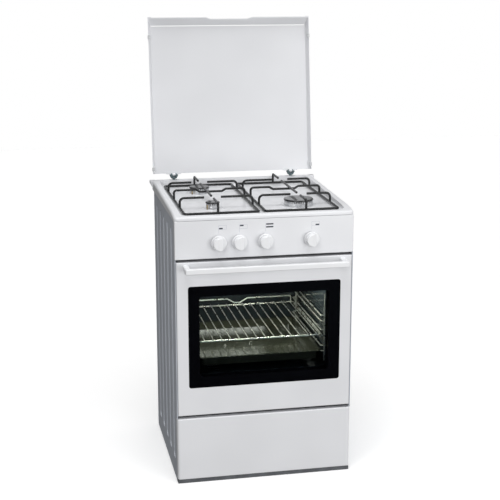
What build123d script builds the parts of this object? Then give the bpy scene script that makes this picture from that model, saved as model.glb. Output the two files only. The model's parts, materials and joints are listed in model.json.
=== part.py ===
from build123d import *
import math
import os

# Freestanding gas range with three burners, a gas oven, a storage drawer and a folding lid.
# Millimetres. X runs to the right of someone facing the front, Y to the rear, Z up.
# The origin is on the floor, midway between the handle and the top of the open lid.
# Names ending in _Y are distances behind the front face of the door, drawer and panel.

# ---- Overall sizes -------------------------------------------------------------------------
BODY_WIDTH = 540.0
BODY_DEPTH = 490.0
PLINTH_HEIGHT = 12.0
DRAWER_HEIGHT = 196.5
DRAWER_GAP = 10.0
DOOR_HEIGHT = 477.0
DOOR_GAP = 8.5
PANEL_HEIGHT = 114.7
HOB_SEAM = 0.8
HOB_SKIRT = 30.5
HOB_OVERHANG_REAR = 44.0

# ---- Sheet metal and clearances ------------------------------------------------------------
SHEET = 0.8
ENAMEL_SHEET = 1.0
HEM = 2.4
RUN = 0.05          # radial clearance of a pin that turns in its bore
SEAT = 0.3          # gap between pieces that move apart
SLIP = 0.2          # gap between a piece and the seat it is only laid on

# ---- Base and feet -------------------------------------------------------------------------
BASE_CLEAR = 0.5
BASE_RAIL = 30.0
BASE_SHEET = 1.5
FOOT_PAD = 24.0
FOOT_PAD_HEIGHT = 5.0
FOOT_STUD = 8.0
FOOT_LENGTH = 32.0
FOOT_FRONT_Y = 60.0
FOOT_REAR_MARGIN = 50.0

# ---- Side panels ---------------------------------------------------------------------------
SIDE_BOTTOM = 4.0
SIDE_TUCK = 6.0
RIB_COUNT = 5
RIB_WIDTH = 40.0
RIB_DEPTH = 3.0
RIB_FIRST_Y = 70.0
FLANGE = 12.0

# ---- Drawer --------------------------------------------------------------------------------
DRAWER_FRONT_DEPTH = 20.0
DRAWER_EDGE_RADIUS = 8.0
DRAWER_BOX_MARGIN = 38.0
DRAWER_BOX_REAR_MARGIN = 65.0
DRAWER_BOX_HEIGHT = 150.0
DRAWER_BOX_LIFT = 8.0
RUNNER_Z = 94.0
RUNNER_HEIGHT = 14.0
RUNNER_SHEET = 1.5
RUNNER_LIP = 12.0

# ---- Oven door -----------------------------------------------------------------------------
DOOR_SIDE_GAP = 1.2
DOOR_DEPTH = 36.0
DOOR_EDGE_RADIUS = 3.0
GLASS_MARGIN = 37.5
GLASS_HEIGHT = 316.5
GLASS_BOTTOM = 87.0
GLASS_CORNER = 8.0
GLASS_THICK = 4.0
GLASS_LAP = 8.0
WINDOW_MARGIN = 72.0
WINDOW_HEIGHT = 250.0
WINDOW_BOTTOM = 119.5
WINDOW_CORNER = 10.0
DOOR_PIVOT_Y = 10.0
DOOR_PIVOT_RISE = 10.0
DOOR_PIN = 6.0
DOOR_ARM_MARGIN = 28.0
DOOR_ARM_THICK = 4.0
DOOR_ARM_HEIGHT = 12.0
DOOR_ARM_TAIL = 90.0
DOOR_LUG_SPREAD = 16.0
DOOR_LUG_THICK = 1.2
HANDLE_MARGIN = 24.0
HANDLE_HEIGHT = 17.0
HANDLE_DEPTH = 14.0
HANDLE_STAND = 36.0
HANDLE_DROP = 17.0
HANDLE_ROUND = 3.0
POST_WIDTH = 16.0
HANDLE_END = 4.0
HANDLE_SCREW = 5.0
FRAME_WALL = 2.0
LINER_SHEET = 1.0

# ---- Oven ----------------------------------------------------------------------------------
FRAME_Y = 41.0
FRAME_SHEET = 1.2
CAVITY_MARGIN = 66.0
CAVITY_BOTTOM = 322.0
CAVITY_HEIGHT = 290.0
CAVITY_REAR_MARGIN = 46.0
LINER_FLANGE = 20.0
SEAL_WIDTH = 8.0
SEAL_INSET = 4.0
WELL_MARGIN = 42.0
WELL_FRONT_Y = 90.0
WELL_REAR_MARGIN = 46.0
WELL_DEPTH = 52.0
INSULATION = 20.0
FLUE_WIDTH = 124.0
FLUE_HEIGHT = 26.0
FLUE_DROP = 12.0
FLOOR_PLATE_LAP = 18.0
FLOOR_SLOT = 6.0
OVEN_BURNER = 22.0
GRILL_TUBE = 14.0
GRILL_DROP = 24.0
GRILL_FRONT_Y = 120.0
GRILL_REAR_Y = 260.0
GRILL_MARGIN = 27.0
BULB = 6.0
BULB_LENGTH = 80.0
BULB_MARGIN = 43.0
BULB_REAR_MARGIN = 6.0
BULB_Z = 355.0
CAPILLARY = 2.0

# ---- Racks, shelf and tray -----------------------------------------------------------------
RACK_POST = 5.0
RACK_WIRE = 4.0
RACK_FRONT_Y = 62.0
RACK_REAR_MARGIN = 9.0
RACK_BOTTOM = 345.0
RACK_TOP = 560.0
RACK_STAND = 14.0
RACK_GUARD = 18.0
SHELF_Z = 432.0
SHELF_ROD = 5.0
SHELF_WIRE = 3.0
SHELF_MARGIN = 11.0
SHELF_FRONT_Y = 54.0
SHELF_REAR_MARGIN = 14.0
SHELF_WIRES = 14
SHELF_PITCH = 27.0
SHELF_GUARD = 14.0
TRAY_Z = 380.0
TRAY_DEPTH = 27.0
TRAY_MARGIN = 12.0
TRAY_LIP = 8.0
TRAY_SHEET = 1.2
SPARE_Z = 478.0

# ---- Hob -----------------------------------------------------------------------------------
RIM_RISE = 24.0
RIM_WIDTH = 21.0
RIM_REAR = 18.0
RIM_FRONT = 16.0
RIM_ROUND = 7.0
NOSE_RISE = 4.5
KNEE_Y = 60.0
KNEE_RISE = 12.0
KNEE_ROUND = 250.0
HOB_CORNER = 14.0
DISH_CORNER = 20.0
DISH_FILLET = 8.0
WING = 8.0
WING_LENGTH = 22.0
WING_DEPTH = 10.0
WING_DROP = 24.0
WING_ROUND = 3.0
HOB_SIDE_CLEAR = 0.3
RIM_SLOPE = 4.0
RIM_TAPER = 12.0
RING_EMBOSS = 1.2
RING_EMBOSS_GAP = 9.0
RING_EMBOSS_WIDTH = 6.0

# ---- Burners -------------------------------------------------------------------------------
BURNER_SIDE_MARGIN = 136.5
BURNER_FRONT_Y = 140.0
BURNER_REAR_MARGIN = 92.0
CAP_LARGE = 91.0
CAP_MEDIUM = 65.0
CAP_SMALL = 43.0
CAP_THICK = 5.0
CAP_LIFT_GAP = 0.3
HEAD_HEIGHT = 16.0
HEAD_INSET = 1.5
SPIGOT_INSET = 9.0
SPIGOT_DEPTH = 10.0
CUP_WALL = 3.0
CUP_DEPTH = 26.0
PROBE = 5.0
PROBE_GAP = 5.0
PROBE_HEIGHT = 15.0
LEAD = 2.5
HEAD_CROWN = 9.0
HEAD_PITCH = 7.0
HEAD_SLOT = 5.0
HEAD_SLOT_WIDTH = 2.0
CAP_RING = 4.0

# ---- Pan supports --------------------------------------------------------------------------
WIRE = 7.6
FINGER_WIRE = 7.2
RING_INNER_X = 10.0
RING_MARGIN = 36.5
RING_FRONT_Y = 41.0
RING_REAR_MARGIN = 32.0
RING_CORNER = 9.0
RING_LIFT = 1.5
ARM_RISE = 29.0
ARM_BEND = 13.0
END_BEND = 5.5
BRIDGE_BEND = 9.0
FINGER_RADIUS = 26.0
DIP_DEPTH = 7.0
DIP_INNER_X = 76.0
DIP_OUTER_X = 158.0
DIP_RAMP = 12.0

# ---- Control panel, taps and knobs ---------------------------------------------------------
PANEL_RETURN = 13.0
PANEL_ROUND = 2.5
KNOB_RISE = 46.6
KNOB_SPACING_OUT = 140.0
KNOB_SPACING_IN = 78.0
KNOB_SKIRT = 45.5
KNOB_SKIRT_DEPTH = 6.0
KNOB_NECK = 33.0
KNOB_NECK_DEPTH = 2.0
KNOB_ROOT = 37.5
KNOB_TIP = 37.0
KNOB_DEPTH = 25.0
KNOB_FLAT = 9.0
KNOB_BEVEL = 10.5
KNOB_BEVEL_DEPTH = 5.0
KNOB_CREST = 4.0
KNOB_EDGE = 1.2
KNOB_STANDOFF = 3.5
KNOB_WALL = 2.0
KNOB_HOLLOW = 14.0
KNOB_HUB = 10.0
SPINDLE = 8.0
SPINDLE_TIP = 6.0
SPINDLE_HOLE = 12.0
SPINDLE_NOSE = 7.0
TAP_WIDTH = 26.0
TAP_FRONT_Y = 30.0
TAP_REAR_Y = 66.0
TAP_BOSS = 20.0
RAIL = 16.0
RAIL_DROP = 24.0
RAIL_Y = 58.0
RAIL_MARGIN = 65.0
FEED_MARGIN = 30.0
PIPE = 8.0
PIPE_BEND = 12.0
INLET_THREAD = 20.955
INLET_LENGTH = 18.0
INLET_HEX = 27.0
INLET_NUT = 10.0
INLET_BORE = 12.0

# ---- Lid -----------------------------------------------------------------------------------
LID_LEAN = 7.5
LID_PIVOT_MARGIN = 12.0
LID_PIVOT_Z = 866.0
LID_OFFSET = 5.5
LID_REAR_GAP = 4.0
LID_PLATE_MARGIN = 8.0
LID_FLARE = 8.0
LID_PLATE_FRONT_Y = 31.0
LID_EDGE_FRONT_Y = 9.0
LID_SKIRT = 18.5
LID_SHEET = 1.0
LID_ROUND = 4.0
LID_BEAD = 5.0
LID_BEAD_GROOVE = 3.0
RECESS_HALF = 62.0
RECESS_RAMP = 20.0
RECESS_RISE = 4.0
EAR_WIDTH = 12.0
EAR_REACH = 2.0
LID_HINGE_MARGIN = 71.0
HINGE_CUP = 29.0
HINGE_STEM = 9.0
HINGE_PIN = 4.0
HINGE_KNUCKLE = 10.0
HINGE_SLOT = 10.4
BRACKET_HALF = 27.0
BRACKET_LENGTH = 8.0
BRACKET_THICK = 2.0
BRACKET_START = 1.0
BRACKET_POINT = 3.5
BUFFER_WIDTH = 7.0
BUFFER_LENGTH = 12.0
BUFFER_FRONT = 57.0
BUFFER_REAR = 14.0
HINGE_REACH = 30.0
CUP_FOOT = 19.0
CUP_FOOT_RISE = 4.0
CUP_CONE = 10.0
CUP_DROP = 0.5
CHEEK = 4.0
CHEEK_RADIUS = 4.2

# ---- Screws -------------------------------------------------------------------------------
SCREW = 4.0
SCREW_HEAD = 8.0
SCREW_HEAD_DEPTH = 2.5
BACK_SCREW_LEVELS = (40.0, 300.0, 560.0, 790.0)
WALL_SCREWS = ((-44.0, 423.0), (44.0, 423.0))
FRAME_SCREW_MARGIN = 34.0
FRAME_SCREW_LEVELS = (292.0, 640.0)

# ---- Levels and places worked out from the sizes above -------------------------------------
HALF = BODY_WIDTH / 2
HOB_REAR_Y = BODY_DEPTH + HOB_OVERHANG_REAR
FOOT_REAR_Y = BODY_DEPTH - FOOT_REAR_MARGIN
DRAWER_BOX_WIDTH = BODY_WIDTH - 2 * DRAWER_BOX_MARGIN
DRAWER_BOX_REAR_Y = BODY_DEPTH - DRAWER_BOX_REAR_MARGIN
GLASS_WIDTH = BODY_WIDTH - 2 * GLASS_MARGIN
WINDOW_WIDTH = BODY_WIDTH - 2 * WINDOW_MARGIN
DOOR_ARM_X = HALF - DOOR_ARM_MARGIN
HANDLE_LENGTH = BODY_WIDTH - 2 * HANDLE_MARGIN
CAVITY_WIDTH = BODY_WIDTH - 2 * CAVITY_MARGIN
CAVITY_HALF = CAVITY_WIDTH / 2
CAVITY_REAR_Y = BODY_DEPTH - CAVITY_REAR_MARGIN
WELL_WIDTH = CAVITY_WIDTH - 2 * WELL_MARGIN
WELL_REAR_Y = CAVITY_REAR_Y - WELL_REAR_MARGIN
GRILL_REACH = CAVITY_HALF - GRILL_MARGIN
BULB_X = CAVITY_HALF - BULB_MARGIN
BULB_Y = CAVITY_REAR_Y - BULB_REAR_MARGIN
RACK_REAR_Y = CAVITY_REAR_Y - RACK_REAR_MARGIN
RACK_REACH = CAVITY_HALF - RACK_STAND
SHELF_HALF_WIDTH = CAVITY_HALF - SHELF_MARGIN
SHELF_REAR_Y = CAVITY_REAR_Y - SHELF_REAR_MARGIN
TRAY_HALF_WIDTH = CAVITY_HALF - TRAY_MARGIN
BURNER_X = HALF - BURNER_SIDE_MARGIN
BURNER_REAR_Y = BODY_DEPTH - BURNER_REAR_MARGIN
RING_OUTER_X = HALF - RING_MARGIN
RING_REAR_Y = HOB_REAR_Y - RING_REAR_MARGIN
RAIL_HALF = HALF - RAIL_MARGIN
FEED_X = HALF - FEED_MARGIN
LID_PIVOT_Y = HOB_REAR_Y - LID_PIVOT_MARGIN
LID_PLATE_HALF = HALF - LID_PLATE_MARGIN
LID_EDGE_HALF = LID_PLATE_HALF + LID_FLARE
LID_HINGE_X = HALF - LID_HINGE_MARGIN
FRAME_SCREW_X = HALF - FRAME_SCREW_MARGIN
FRAME_SCREWS = [(x, z) for x in (-FRAME_SCREW_X, FRAME_SCREW_X) for z in FRAME_SCREW_LEVELS]
HANDLE_REACH = HANDLE_STAND + HANDLE_DEPTH
LID_PLATE_LENGTH = LID_PIVOT_Y - LID_PLATE_FRONT_Y
LEAN_SIN = math.sin(math.radians(LID_LEAN))
LEAN_COS = math.cos(math.radians(LID_LEAN))
LID_BACK_Y = LID_PIVOT_Y + LID_PLATE_LENGTH * LEAN_SIN + LID_OFFSET * LEAN_COS
FRONT = -(LID_BACK_Y - HANDLE_REACH) / 2
SIDE_IN = HALF - SHEET
BACK_SCREW_X = SIDE_IN - FLANGE / 2
DRAWER_TOP = PLINTH_HEIGHT + DRAWER_HEIGHT
DOOR_BOTTOM = DRAWER_TOP + DRAWER_GAP
DOOR_TOP = DOOR_BOTTOM + DOOR_HEIGHT
PANEL_BOTTOM = DOOR_TOP + DOOR_GAP
PANEL_TOP = PANEL_BOTTOM + PANEL_HEIGHT
SKIRT_BOTTOM = PANEL_TOP + HOB_SEAM
HOB_TOP = SKIRT_BOTTOM + HOB_SKIRT
SURFACE = HOB_TOP - RIM_RISE
NOSE_Z = SURFACE + NOSE_RISE
KNEE_Z = SURFACE + KNEE_RISE
HOB_HALF = HALF + HOB_SIDE_CLEAR + ENAMEL_SHEET
BASE_TOP = PLINTH_HEIGHT - 0.5
DOOR_HALF = HALF - HEM - DOOR_SIDE_GAP
DOOR_PIVOT_Z = DOOR_BOTTOM + DOOR_PIVOT_RISE
CAVITY_TOP = CAVITY_BOTTOM + CAVITY_HEIGHT
INNER_GLASS_Y = DOOR_DEPTH - LINER_SHEET - GLASS_THICK
FRAME_BACK_Y = FRAME_Y + FRAME_SHEET
KNOB_Z = PANEL_BOTTOM + KNOB_RISE
KNOB_PLACES = {
    "front_left": -KNOB_SPACING_OUT,
    "rear_left": -KNOB_SPACING_IN,
    "oven": 0.0,
    "front_right": KNOB_SPACING_OUT,
}
BURNERS = {
    "small": (-BURNER_X, BURNER_FRONT_Y, CAP_SMALL),
    "medium": (-BURNER_X, BURNER_REAR_Y, CAP_MEDIUM),
    "large": (BURNER_X, BURNER_FRONT_Y, CAP_LARGE),
}
HEAD_TOP = SURFACE + HEAD_HEIGHT
CUP_TOP = SURFACE - ENAMEL_SHEET
PIPE_ENTRY_Z = CUP_TOP - CUP_DEPTH + PIPE / 2 + 5.0
RING_Z = SURFACE + RING_LIFT + WIRE / 2
ARM_Z = RING_Z + ARM_RISE
ARM_MIDDLE_Y = (BURNER_FRONT_Y + BURNER_REAR_Y) / 2
RAIL_Z = KNOB_Z - RAIL_DROP
WELL_HALF = WELL_WIDTH / 2
WELL_BOTTOM = CAVITY_BOTTOM - WELL_DEPTH
OVEN_BURNER_Z = WELL_BOTTOM + WELL_DEPTH * 0.42
OVEN_BURNER_Y = (WELL_FRONT_Y + WELL_REAR_Y) / 2
GRILL_Z = CAVITY_TOP - GRILL_DROP


# ---- Helpers -------------------------------------------------------------------------------
def block(x0, x1, y0, y1, z0, z1):
    """A box between two corners, with y given behind the front face."""
    centre = ((x0 + x1) / 2, FRONT + (y0 + y1) / 2, (z0 + z1) / 2)
    return Pos(*centre) * Box(abs(x1 - x0), abs(y1 - y0), abs(z1 - z0))


def spot(x, y, z):
    """A point, with y given behind the front face."""
    return (x, FRONT + y, z)


def rod(points, diameter, bend=0.0):
    """A round wire or tube along straight runs, with one radius at every corner."""
    corners = [spot(*p) for p in points]
    path = FilletPolyline(*corners, radius=bend) if bend else Polyline(*corners)
    section = Plane(origin=path @ 0, z_dir=path % 0) * Circle(diameter / 2)
    return sweep(section, path)


def loop(points, diameter, bend):
    """A closed ring of round wire."""
    corners = [spot(*p) for p in points]
    path = FilletPolyline(*corners, radius=bend, close=True)
    section = Plane(origin=path @ 0.1, z_dir=path % 0.1) * Circle(diameter / 2)
    start = path.trim(0.1, 1.0) + path.trim(0.0, 0.1)
    return sweep(section, start)


def bar_x(x0, x1, y, z, diameter):
    """A round bar along X."""
    return Pos(*spot((x0 + x1) / 2, y, z)) * Rot(0, 90, 0) * Cylinder(diameter / 2, abs(x1 - x0))


def bar_y(x, y0, y1, z, diameter):
    """A round bar along Y."""
    return Pos(*spot(x, (y0 + y1) / 2, z)) * Rot(90, 0, 0) * Cylinder(diameter / 2, abs(y1 - y0))


def bar_z(x, y, z0, z1, diameter):
    """A round bar along Z."""
    return Pos(*spot(x, y, (z0 + z1) / 2)) * Cylinder(diameter / 2, abs(z1 - z0))


def joined(shapes):
    """One solid from pieces that overlap."""
    first, *rest = shapes
    return first.fuse(*rest) if rest else first


def both_sides(shape):
    """A shape and its mirror image across the middle plane, as two solids."""
    return Compound(children=[shape, mirror(shape, about=Plane.YZ)])


def save(name, shape):
    """Write one node."""
    export_step(shape, f"parts/{name}.step")


# ---- Base, feet and side panels ------------------------------------------------------------
def foot_places():
    """The four feet, each with its name."""
    x = SIDE_IN - BASE_RAIL / 2
    rows = (("front", FOOT_FRONT_Y), ("rear", FOOT_REAR_Y))
    sides = (("left", -x), ("right", x))
    return [(f"{row}_{side}", fx, fy) for row, fy in rows for side, fx in sides]


def base_frame():
    """Four channel rails in a ring, open underneath, with a threaded boss over each foot."""
    front, rear = 1.0, BODY_DEPTH - SHEET - HEM
    shape = block(-SIDE_IN, SIDE_IN, front, rear, BASE_CLEAR, BASE_TOP)
    inner = SIDE_IN - BASE_RAIL
    shape -= block(-inner, inner, front + BASE_RAIL, rear - BASE_RAIL, 0, PLINTH_HEIGHT)
    t = BASE_SHEET
    under = block(-SIDE_IN + t, SIDE_IN - t, front + t, rear - t, 0, BASE_TOP - t)
    under -= block(-inner - t, inner + t, front + BASE_RAIL - t, rear - BASE_RAIL + t, 0, PLINTH_HEIGHT)
    shape -= under
    for _, x, y in foot_places():
        shape += bar_z(x, y, BASE_TOP - t, BASE_TOP + 8.0, FOOT_STUD + 6.0)
    for _, x, y in foot_places():
        shape -= bar_z(x, y, 0, BASE_TOP + 20.0, FOOT_STUD + 2 * RUN)
    return shape


def levelling_foot(x, y):
    """A pad with a hexagon above it and a screwed stud."""
    pad = bar_z(x, y, 0, FOOT_PAD_HEIGHT, FOOT_PAD)
    pad = chamfer(pad.edges().filter_by(GeomType.CIRCLE), 1.0)
    return pad + bar_z(x, y, FOOT_PAD_HEIGHT - 1.0, FOOT_LENGTH, FOOT_STUD)


def rib_form(x, y, inset):
    """The tapered block pressed into a side panel at one rib."""
    low, high = SIDE_BOTTOM + 56.0, PANEL_TOP - 30.0
    mouth = Plane(origin=spot(x, y, (low + high) / 2), x_dir=(0, 1, 0), z_dir=(-1, 0, 0))
    wide = mouth * RectangleRounded(RIB_WIDTH, high - low, 12.0)
    narrow = mouth.offset(RIB_DEPTH) * RectangleRounded(RIB_WIDTH - inset, high - low - inset, 9.0)
    return loft([wide, narrow])


def side_panel():
    """The right-hand panel, with a hem beside the door and a flange behind."""
    top = SKIRT_BOTTOM + SIDE_TUCK
    shape = block(SIDE_IN, HALF, 2.0, BODY_DEPTH, DRAWER_TOP + 1.5, DOOR_TOP + DOOR_GAP - 1.0)
    shape += block(SIDE_IN, HALF, DRAWER_FRONT_DEPTH + 1.0, BODY_DEPTH, SIDE_BOTTOM, top)
    shape += block(SIDE_IN, HALF, PANEL_RETURN, BODY_DEPTH, DOOR_TOP, top)
    shape += block(HALF - HEM, HALF, 2.0, 12.0, DRAWER_TOP + 1.5, DOOR_TOP + DOOR_GAP - 1.0)
    flange_top = SURFACE - 6.0
    shape += block(SIDE_IN - FLANGE, HALF, BODY_DEPTH - SHEET, BODY_DEPTH, SIDE_BOTTOM, flange_top)
    pitch = (FOOT_REAR_Y - RIB_FIRST_Y - 30.0) / (RIB_COUNT - 1)
    for i in range(RIB_COUNT):
        y = RIB_FIRST_Y + i * pitch
        shape += rib_form(SIDE_IN, y, 2 * RIB_DEPTH)
        shape -= rib_form(HALF, y, 2 * RIB_DEPTH)
    for z in BACK_SCREW_LEVELS:
        shape -= bar_y(BACK_SCREW_X, BODY_DEPTH - 5.0, BODY_DEPTH + 5.0, z, SCREW + 0.2)
    return shape


def screw(x, y, z, length, side):
    """A pan-head screw along Y; its head stands out on the given side of y."""
    head = bar_y(x, y, y + side * SCREW_HEAD_DEPTH, z, SCREW_HEAD)
    return head + bar_y(x, y + side, y - side * length, z, SCREW)


def cabinet_screws():
    """Screws in the back panel, in the oven's rear wall and in the front frame."""
    back = [(sx * BACK_SCREW_X, z) for sx in (-1, 1) for z in BACK_SCREW_LEVELS]
    screws = [screw(x, BODY_DEPTH, z, 10.0, 1) for x, z in back]
    screws += [screw(x, CAVITY_REAR_Y, z, 6.0, -1) for x, z in WALL_SCREWS]
    screws += [screw(x, FRAME_Y, z, 6.0, -1) for x, z in FRAME_SCREWS]
    return Compound(children=screws)


def back_panel():
    """A flat sheet inside the side panels' flanges, with openings for the flue and the inlet."""
    rear = BODY_DEPTH - SHEET
    shape = block(-SIDE_IN, SIDE_IN, rear - SHEET, rear, BASE_TOP + 1.0, CUP_TOP)
    shape -= flue_form(0.0)
    shape -= bar_y(FEED_X, rear - 5.0, rear + 5.0, RAIL_Z, RAIL + 0.4)
    for x in (-BACK_SCREW_X, BACK_SCREW_X):
        for z in BACK_SCREW_LEVELS:
            shape -= bar_y(x, rear - 5.0, rear + 5.0, z, SCREW + 0.2)
    for i in range(6):
        z = 640.0 + i * 12.0
        for x in (-90.0, 90.0):
            shape -= block(x - 40.0, x + 40.0, rear - 5.0, rear + 5.0, z, z + 4.0)
    return shape


# ---- Oven body -----------------------------------------------------------------------------
def front_frame():
    """The plate the oven and the door seal are fixed to."""
    back = FRAME_BACK_Y
    shape = block(-SIDE_IN, SIDE_IN, FRAME_Y, back, DRAWER_TOP + 1.5, PANEL_BOTTOM)
    shape -= block(-CAVITY_HALF, CAVITY_HALF, 0, 100, CAVITY_BOTTOM, CAVITY_TOP)
    for x in (-DOOR_ARM_X, DOOR_ARM_X):
        gap = DOOR_ARM_THICK / 2
        high = DOOR_ARM_HEIGHT / 2
        shape -= block(x - gap, x + gap, 0, 100, DOOR_PIVOT_Z - high, DOOR_PIVOT_Z + high)
    for x, z in FRAME_SCREWS:
        shape -= bar_y(x, 0, 100, z, SCREW + 0.2)
    return shape


def flue_form(wall):
    """The space the flue takes up, less a wall thickness all round."""
    half = FLUE_WIDTH / 2 - wall
    top = CAVITY_TOP - FLUE_DROP - wall
    return block(-half, half, CAVITY_REAR_Y - 1, BODY_DEPTH + 1, top + 2 * wall - FLUE_HEIGHT, top)


def liner_form(grow):
    """The oven cavity and the burner well below it, grown by a wall thickness."""
    g = grow
    room = block(-CAVITY_HALF - g, CAVITY_HALF + g, FRAME_BACK_Y, CAVITY_REAR_Y + g,
                 CAVITY_BOTTOM - g, CAVITY_TOP + g)
    well = block(-WELL_HALF - g, WELL_HALF + g, WELL_FRONT_Y - g, WELL_REAR_Y + g,
                 WELL_BOTTOM - g, CAVITY_BOTTOM + 1)
    return room + well


def air_slots():
    """Two slots in the floor of the burner well."""
    y = OVEN_BURNER_Y
    cuts = [block(-110, 110, y + s * 60 - 6, y + s * 60 + 6, 200, WELL_BOTTOM + 5) for s in (-1, 1)]
    return joined(cuts)


def gas_holes(diameter):
    """Holes where the oven and grill pipes and the bulb's fitting come through the walls."""
    cuts = bar_x(-CAVITY_HALF - 40, -WELL_HALF + 10, OVEN_BURNER_Y, OVEN_BURNER_Z, diameter)
    cuts += bar_x(-CAVITY_HALF - 40, -CAVITY_HALF + 10, GRILL_FRONT_Y, GRILL_Z, diameter)
    return cuts


def oven_liner():
    """The enamelled box, with a flange behind the front frame."""
    t = ENAMEL_SHEET
    shape = liner_form(t)
    edge = LINER_FLANGE
    shape += block(-CAVITY_HALF - edge, CAVITY_HALF + edge, FRAME_BACK_Y, FRAME_BACK_Y + t,
                   CAVITY_BOTTOM - edge, CAVITY_TOP + edge)
    shape -= liner_form(0.0)
    shape -= flue_form(0.0)
    shape -= air_slots()
    shape -= gas_holes(PIPE)
    shape -= bar_y(BULB_X, WELL_REAR_Y, BODY_DEPTH, BULB_Z, 10.0)
    for x, z in WALL_SCREWS:
        shape -= bar_y(x, WELL_REAR_Y, BODY_DEPTH, z, SCREW)
    return shape


def oven_insulation():
    """Mineral wool round the liner."""
    t = ENAMEL_SHEET + INSULATION
    half = CAVITY_HALF + t
    front = FRAME_BACK_Y + ENAMEL_SHEET
    shape = block(-half, half, front, CAVITY_REAR_Y + t, CAVITY_BOTTOM - t, CAVITY_TOP + t)
    shape += block(-WELL_HALF - t, WELL_HALF + t, WELL_FRONT_Y - t, WELL_REAR_Y + t,
                   WELL_BOTTOM - t, CAVITY_BOTTOM)
    shape -= liner_form(ENAMEL_SHEET)
    shape -= flue_form(0.0)
    shape -= air_slots()
    shape -= gas_holes(PIPE)
    shape -= bar_y(BULB_X, WELL_REAR_Y, BODY_DEPTH, BULB_Z, 10.0)
    for x, z in WALL_SCREWS:
        shape -= bar_y(x, WELL_REAR_Y, BODY_DEPTH, z, SCREW)
    return shape


def oven_seal():
    """A soft cord round the mouth of the oven."""
    front = DOOR_DEPTH + SEAT
    middle = SEAL_INSET + SEAL_WIDTH / 2
    plane = Plane(origin=spot(0, front, (CAVITY_BOTTOM + CAVITY_TOP) / 2), x_dir=(1, 0, 0), z_dir=(0, 1, 0))
    wide = CAVITY_WIDTH + 2 * middle
    high = CAVITY_HEIGHT + 2 * middle
    outer = RectangleRounded(wide + SEAL_WIDTH, high + SEAL_WIDTH, 16.0)
    inner = RectangleRounded(wide - SEAL_WIDTH, high - SEAL_WIDTH, 8.0)
    shape = extrude(plane * (outer - inner), FRAME_Y - front)
    return chamfer(shape.faces().sort_by(Axis.Y)[0].edges(), 1.2)


def oven_floor_plate():
    """The slotted plate over the burner."""
    lap = FLOOR_PLATE_LAP
    z = CAVITY_BOTTOM
    shape = block(-WELL_HALF - lap, WELL_HALF + lap, WELL_FRONT_Y - lap, WELL_REAR_Y + lap,
                  z, z + FRAME_SHEET)
    for side in (-1, 1):
        for i in range(15):
            y = WELL_FRONT_Y + 14 + i * 20
            x = side * (WELL_HALF - 24)
            shape -= block(x - 16, x + 16, y, y + FLOOR_SLOT, z - 5, z + 5)
    return shape


def oven_burner():
    """A closed tube with two rows of ports, on two feet."""
    left, right = -WELL_HALF, WELL_HALF - 40
    y, z = OVEN_BURNER_Y, OVEN_BURNER_Z
    shape = bar_x(left, right, y, z, OVEN_BURNER)
    for x in (left + 60, right - 40):
        shape += block(x - 8, x + 8, y - 14, y + 14, WELL_BOTTOM, WELL_BOTTOM + 1.5)
        shape += block(x - 8, x + 8, y - 1, y + 1, WELL_BOTTOM, z)
    shape -= bar_x(left + 1.5, right - 1.5, y, z, OVEN_BURNER - 3)
    for i in range(22):
        x = left + 20 + i * 10
        shape -= bar_y(x, y - OVEN_BURNER, y + OVEN_BURNER, z + 4, 2.4)
    return shape


def grill_burner():
    """A U of tube under the oven's roof, on three hangers."""
    x0, x1 = -CAVITY_HALF, GRILL_REACH
    y0, y1, z = GRILL_FRONT_Y, GRILL_REAR_Y, GRILL_Z
    shape = rod([(x0, y0, z), (x1, y0, z), (x1, y1, z), (-GRILL_REACH, y1, z)], GRILL_TUBE, 24.0)
    for x, y in ((-120, y0), (120, y0), (-120, y1), (120, y1)):
        shape += block(x - 6, x + 6, y - 1, y + 1, z, CAVITY_TOP - 1)
        shape += block(x - 6, x + 6, y - 8, y + 8, CAVITY_TOP - 1.5, CAVITY_TOP)
    return shape


def thermostat_bulb():
    """A phial along the rear wall, its wall fitting and the capillary up to the oven tap."""
    shape = bar_x(BULB_X - BULB_LENGTH - 6, BULB_X, BULB_Y, BULB_Z, BULB)
    shape += bar_y(BULB_X, CAVITY_REAR_Y - 10, CAVITY_REAR_Y, BULB_Z, 16.0)
    shape += bar_y(BULB_X, CAVITY_REAR_Y - 1, CAVITY_REAR_Y + 12, BULB_Z, 10.0)
    back = CAVITY_REAR_Y + 36
    z = KNOB_Z - 11
    path = [(BULB_X, CAVITY_REAR_Y, BULB_Z), (BULB_X, back, BULB_Z), (BULB_X, back, z),
            (0, back, z), (0, TAP_REAR_Y, z)]
    return shape + rod(path, CAPILLARY, PIPE_BEND)


def flue_duct():
    """A flat duct from the oven's rear wall through the back panel."""
    shape = flue_form(0.0) & block(-HALF, HALF, CAVITY_REAR_Y, BODY_DEPTH - SHEET, 0, HOB_TOP)
    return shape - flue_form(ENAMEL_SHEET)


# ---- Racks, shelf and tray -----------------------------------------------------------------
def side_rack():
    """The right-hand rack: upright posts against the wall and three pairs of runner wires."""
    wall = CAVITY_HALF - RACK_POST / 2
    shapes = [bar_z(wall, y, RACK_BOTTOM, RACK_TOP, RACK_POST) for y in (RACK_FRONT_Y, RACK_REAR_Y)]
    tray = TRAY_Z - TRAY_SHEET
    shelf = SHELF_Z - SHELF_ROD / 2
    spare = SPARE_Z - SHELF_ROD / 2
    for seat in (tray, shelf, spare):
        for z in (seat - SLIP - RACK_WIRE / 2, seat - SLIP - RACK_WIRE / 2 + RACK_GUARD):
            path = [(wall, RACK_FRONT_Y, z), (RACK_REACH, RACK_FRONT_Y, z),
                    (RACK_REACH, RACK_REAR_Y, z), (wall, RACK_REAR_Y, z)]
            shapes.append(rod(path, RACK_WIRE, 5.0))
    return joined(shapes)


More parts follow.
